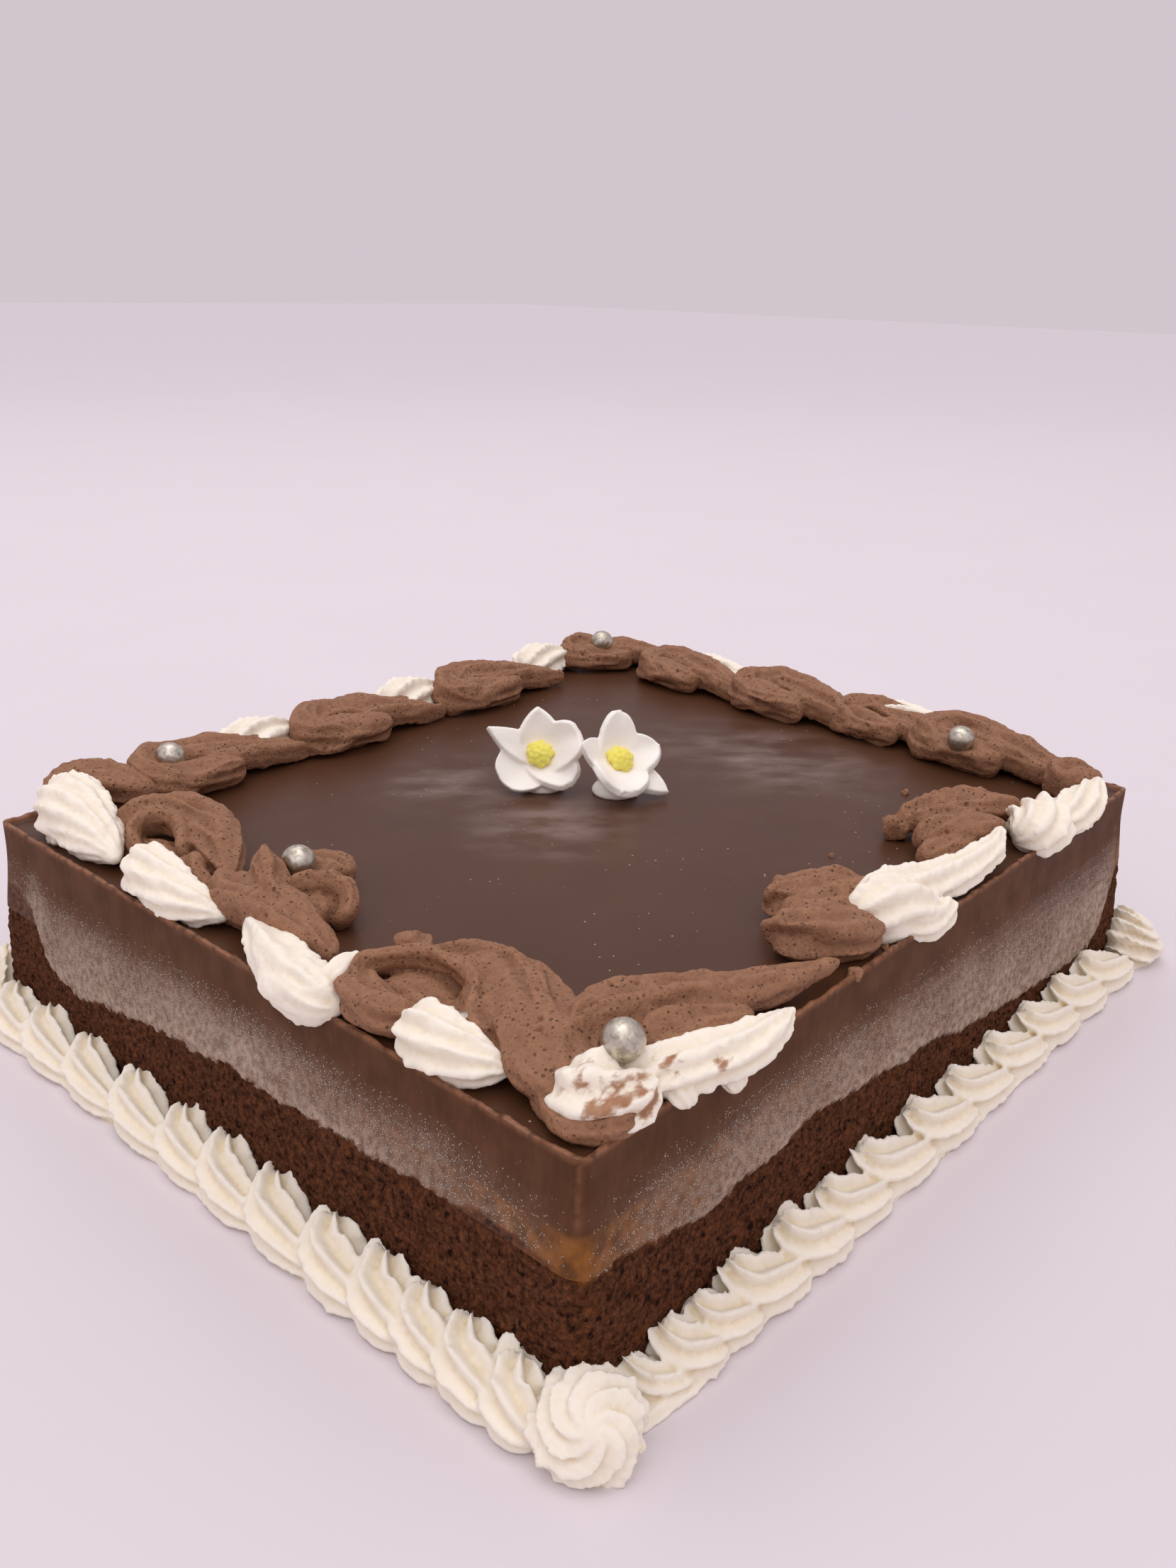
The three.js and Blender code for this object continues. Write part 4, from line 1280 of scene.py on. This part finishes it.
# Each petal: degrees round the middle, how long, how wide, how round its tip, how far it lifts
FLOWERS = {
    "left": {
        "at": (118.5, 122.5, 7.4), "heading": 222, "lean": 50,
        "petals": [
            (47, 1.05, 1.05, 0.35, 0.5), (112, 1, 1.15, 0.3, 1), (184, 1.05, 0.95, 0.75, 1.1),
            (248, 1.3, 0.7, 1, 0.9), (309, 1.05, 1.2, 0.35, 0.7),
        ],
    },
    "right": {
        "at": (129.5, 103.5, 7.6), "heading": 252, "lean": 42,
        "petals": [
            (165, 1.1, 0.95, 0.5, 1.2), (95, 1.05, 1.05, 0.6, 0.8), (40, 1.3, 0.8, 0.85, 0.1),
            (335, 1.0, 1.35, 0.35, 0.7), (250, 1.0, 0.85, 0.6, 1.5),
        ],
    },
}
FLOWER_FOOT = {"left": (118.5, 121.5, -0.5), "right": (129.5, 104, -0.5)}
FLOWER_FOOT_RADIUS = 6.5
sugar_finish, sugar_surface, place = new_finish(
    "sugar_paste",
    Roughness=0.6,
    Subsurface_Weight=0.3,
    Subsurface_Radius=(1, 0.9, 0.8),
    Subsurface_Scale=0.002,
)
paste = blend(cloud(place, 6), colour(246, 240, 229), colour(250, 246, 238))
feed(sugar_surface, "Base Color", paste)
feed(sugar_surface, "Normal", bumped(cloud(place, 1.2), 0.08))


def petal(bm, degrees, long, wide, tip, lift):
    """One petal, cut, cupped and turned to its place round the flower's middle."""
    sheet = bmesh.ops.create_grid(bm, x_segments=14, y_segments=18, size=1)["verts"]
    turn = Matrix.Rotation(math.radians(degrees), 3, "Z")
    for vert in sheet:
        across, share = vert.co.x, (vert.co.y + 1) / 2
        bow = math.sin(math.pi * (PETAL_NECK + (1 - PETAL_NECK) * share))
        half = PETAL_WIDTH * wide * max(bow, 0.002) ** tip
        cup = (across * half) ** 2 / PETAL_WIDTH * PETAL_CUP
        reach = (PETAL_LENGTH * long + 1) * share - 1
        height = PETAL_LIFT * lift * share ** 1.5 - PETAL_DIP * (1 - share) ** 2
        height += cup * (0.3 + share) + share * uneven((reach, across * half, degrees), PETAL_FRILLS)
        vert.co = turn @ Vector((reach, across * half, height))


print("petals:", {name: len(spec["petals"]) for name, spec in FLOWERS.items()})


# %% Flowers
def leaning(spec):
    """Where a flower stands and how it leans."""
    heading = Matrix.Rotation(math.radians(spec["heading"]), 4, "Z")
    lean = Matrix.Rotation(math.radians(spec["lean"]), 4, "Y")
    return Matrix.Translation(on_top(*spec["at"])) @ heading @ lean


for name, spec in FLOWERS.items():
    bm = bmesh.new()
    for cut in spec["petals"]:
        petal(bm, *cut)
    bmesh.ops.solidify(bm, geom=bm.faces[:], thickness=PETAL_THICK)
    bud = Matrix.Translation((0, 0, -BUD_DOWN))
    bmesh.ops.create_icosphere(bm, subdivisions=4, radius=BUD_RADIUS, matrix=bud)
    bmesh.ops.transform(bm, matrix=leaning(spec), verts=bm.verts)
    foot = Matrix.Translation(on_top(*FLOWER_FOOT[name])) @ Matrix.Diagonal((1, 1, 0.5, 1))
    bmesh.ops.create_icosphere(bm, subdivisions=4, radius=FLOWER_FOOT_RADIUS, matrix=foot)
    for vert in bm.verts:
        vert.co.z = max(vert.co.z, TOP)
    bm = one_skin(bm, FLOWER_VOXEL, 3)
    set_down(bm, "paste_flower_" + name, sugar_finish, "sugar_flower", "sugar_flower_" + name)

# %% Flower centres
stamen_finish, stamen_surface, place = new_finish("yellow_sugar", Roughness=0.7, Subsurface_Weight=0.2)
yellow = blend(cloud(place, 1.2), colour(250, 222, 62), colour(255, 238, 128))
feed(stamen_surface, "Base Color", yellow)
STAMEN_RADIUS = 3.3
STAMEN_GRAINS = 22
STAMEN_TURN = 2.4
STAMEN_UP = 2.2
STAMEN_DOME = 1.6
STAMEN_VOXEL = 0.3
STAMEN_BUMPS = [(0.9, 0.12)]
GRAIN_RADIUS = 1.15
CUSHION_RADIUS = 3.2
CUSHION_UP = 0.5

for name, spec in FLOWERS.items():
    bm = bmesh.new()
    for grain in range(STAMEN_GRAINS):
        ring = math.sqrt((grain + 0.5) / STAMEN_GRAINS)
        angle = grain * STAMEN_TURN
        away = STAMEN_RADIUS * ring
        height = STAMEN_UP + STAMEN_DOME * (1 - ring * ring)
        spot = Matrix.Translation((away * math.cos(angle), away * math.sin(angle), height))
        bmesh.ops.create_icosphere(bm, subdivisions=2, radius=GRAIN_RADIUS, matrix=spot)
    cushion = Matrix.Translation((0, 0, CUSHION_UP))
    bmesh.ops.create_icosphere(bm, subdivisions=3, radius=CUSHION_RADIUS, matrix=cushion)
    bmesh.ops.transform(bm, matrix=leaning(spec), verts=bm.verts)
    bm = one_skin(bm, STAMEN_VOXEL, 1)
    roughen(bm, STAMEN_BUMPS)
    set_down(bm, "stamens_" + name, stamen_finish, "flower_centre", "flower_centre_" + name)

# %% [markdown]
# ## Measuring
#
# The boxes of the imported model and of the dressed cake are measured and printed. The
# dressed cake has to stay as large as the model it dresses.

# %% Sizes and the end
boxes = {"cad": CAD_BOX, "visual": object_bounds()}
{name: [list(corner) for corner in corners] for name, corners in boxes.items()}
for name, corners in boxes.items():
    print(name, "box:", [[round(value, 4) for value in corner] for corner in corners])
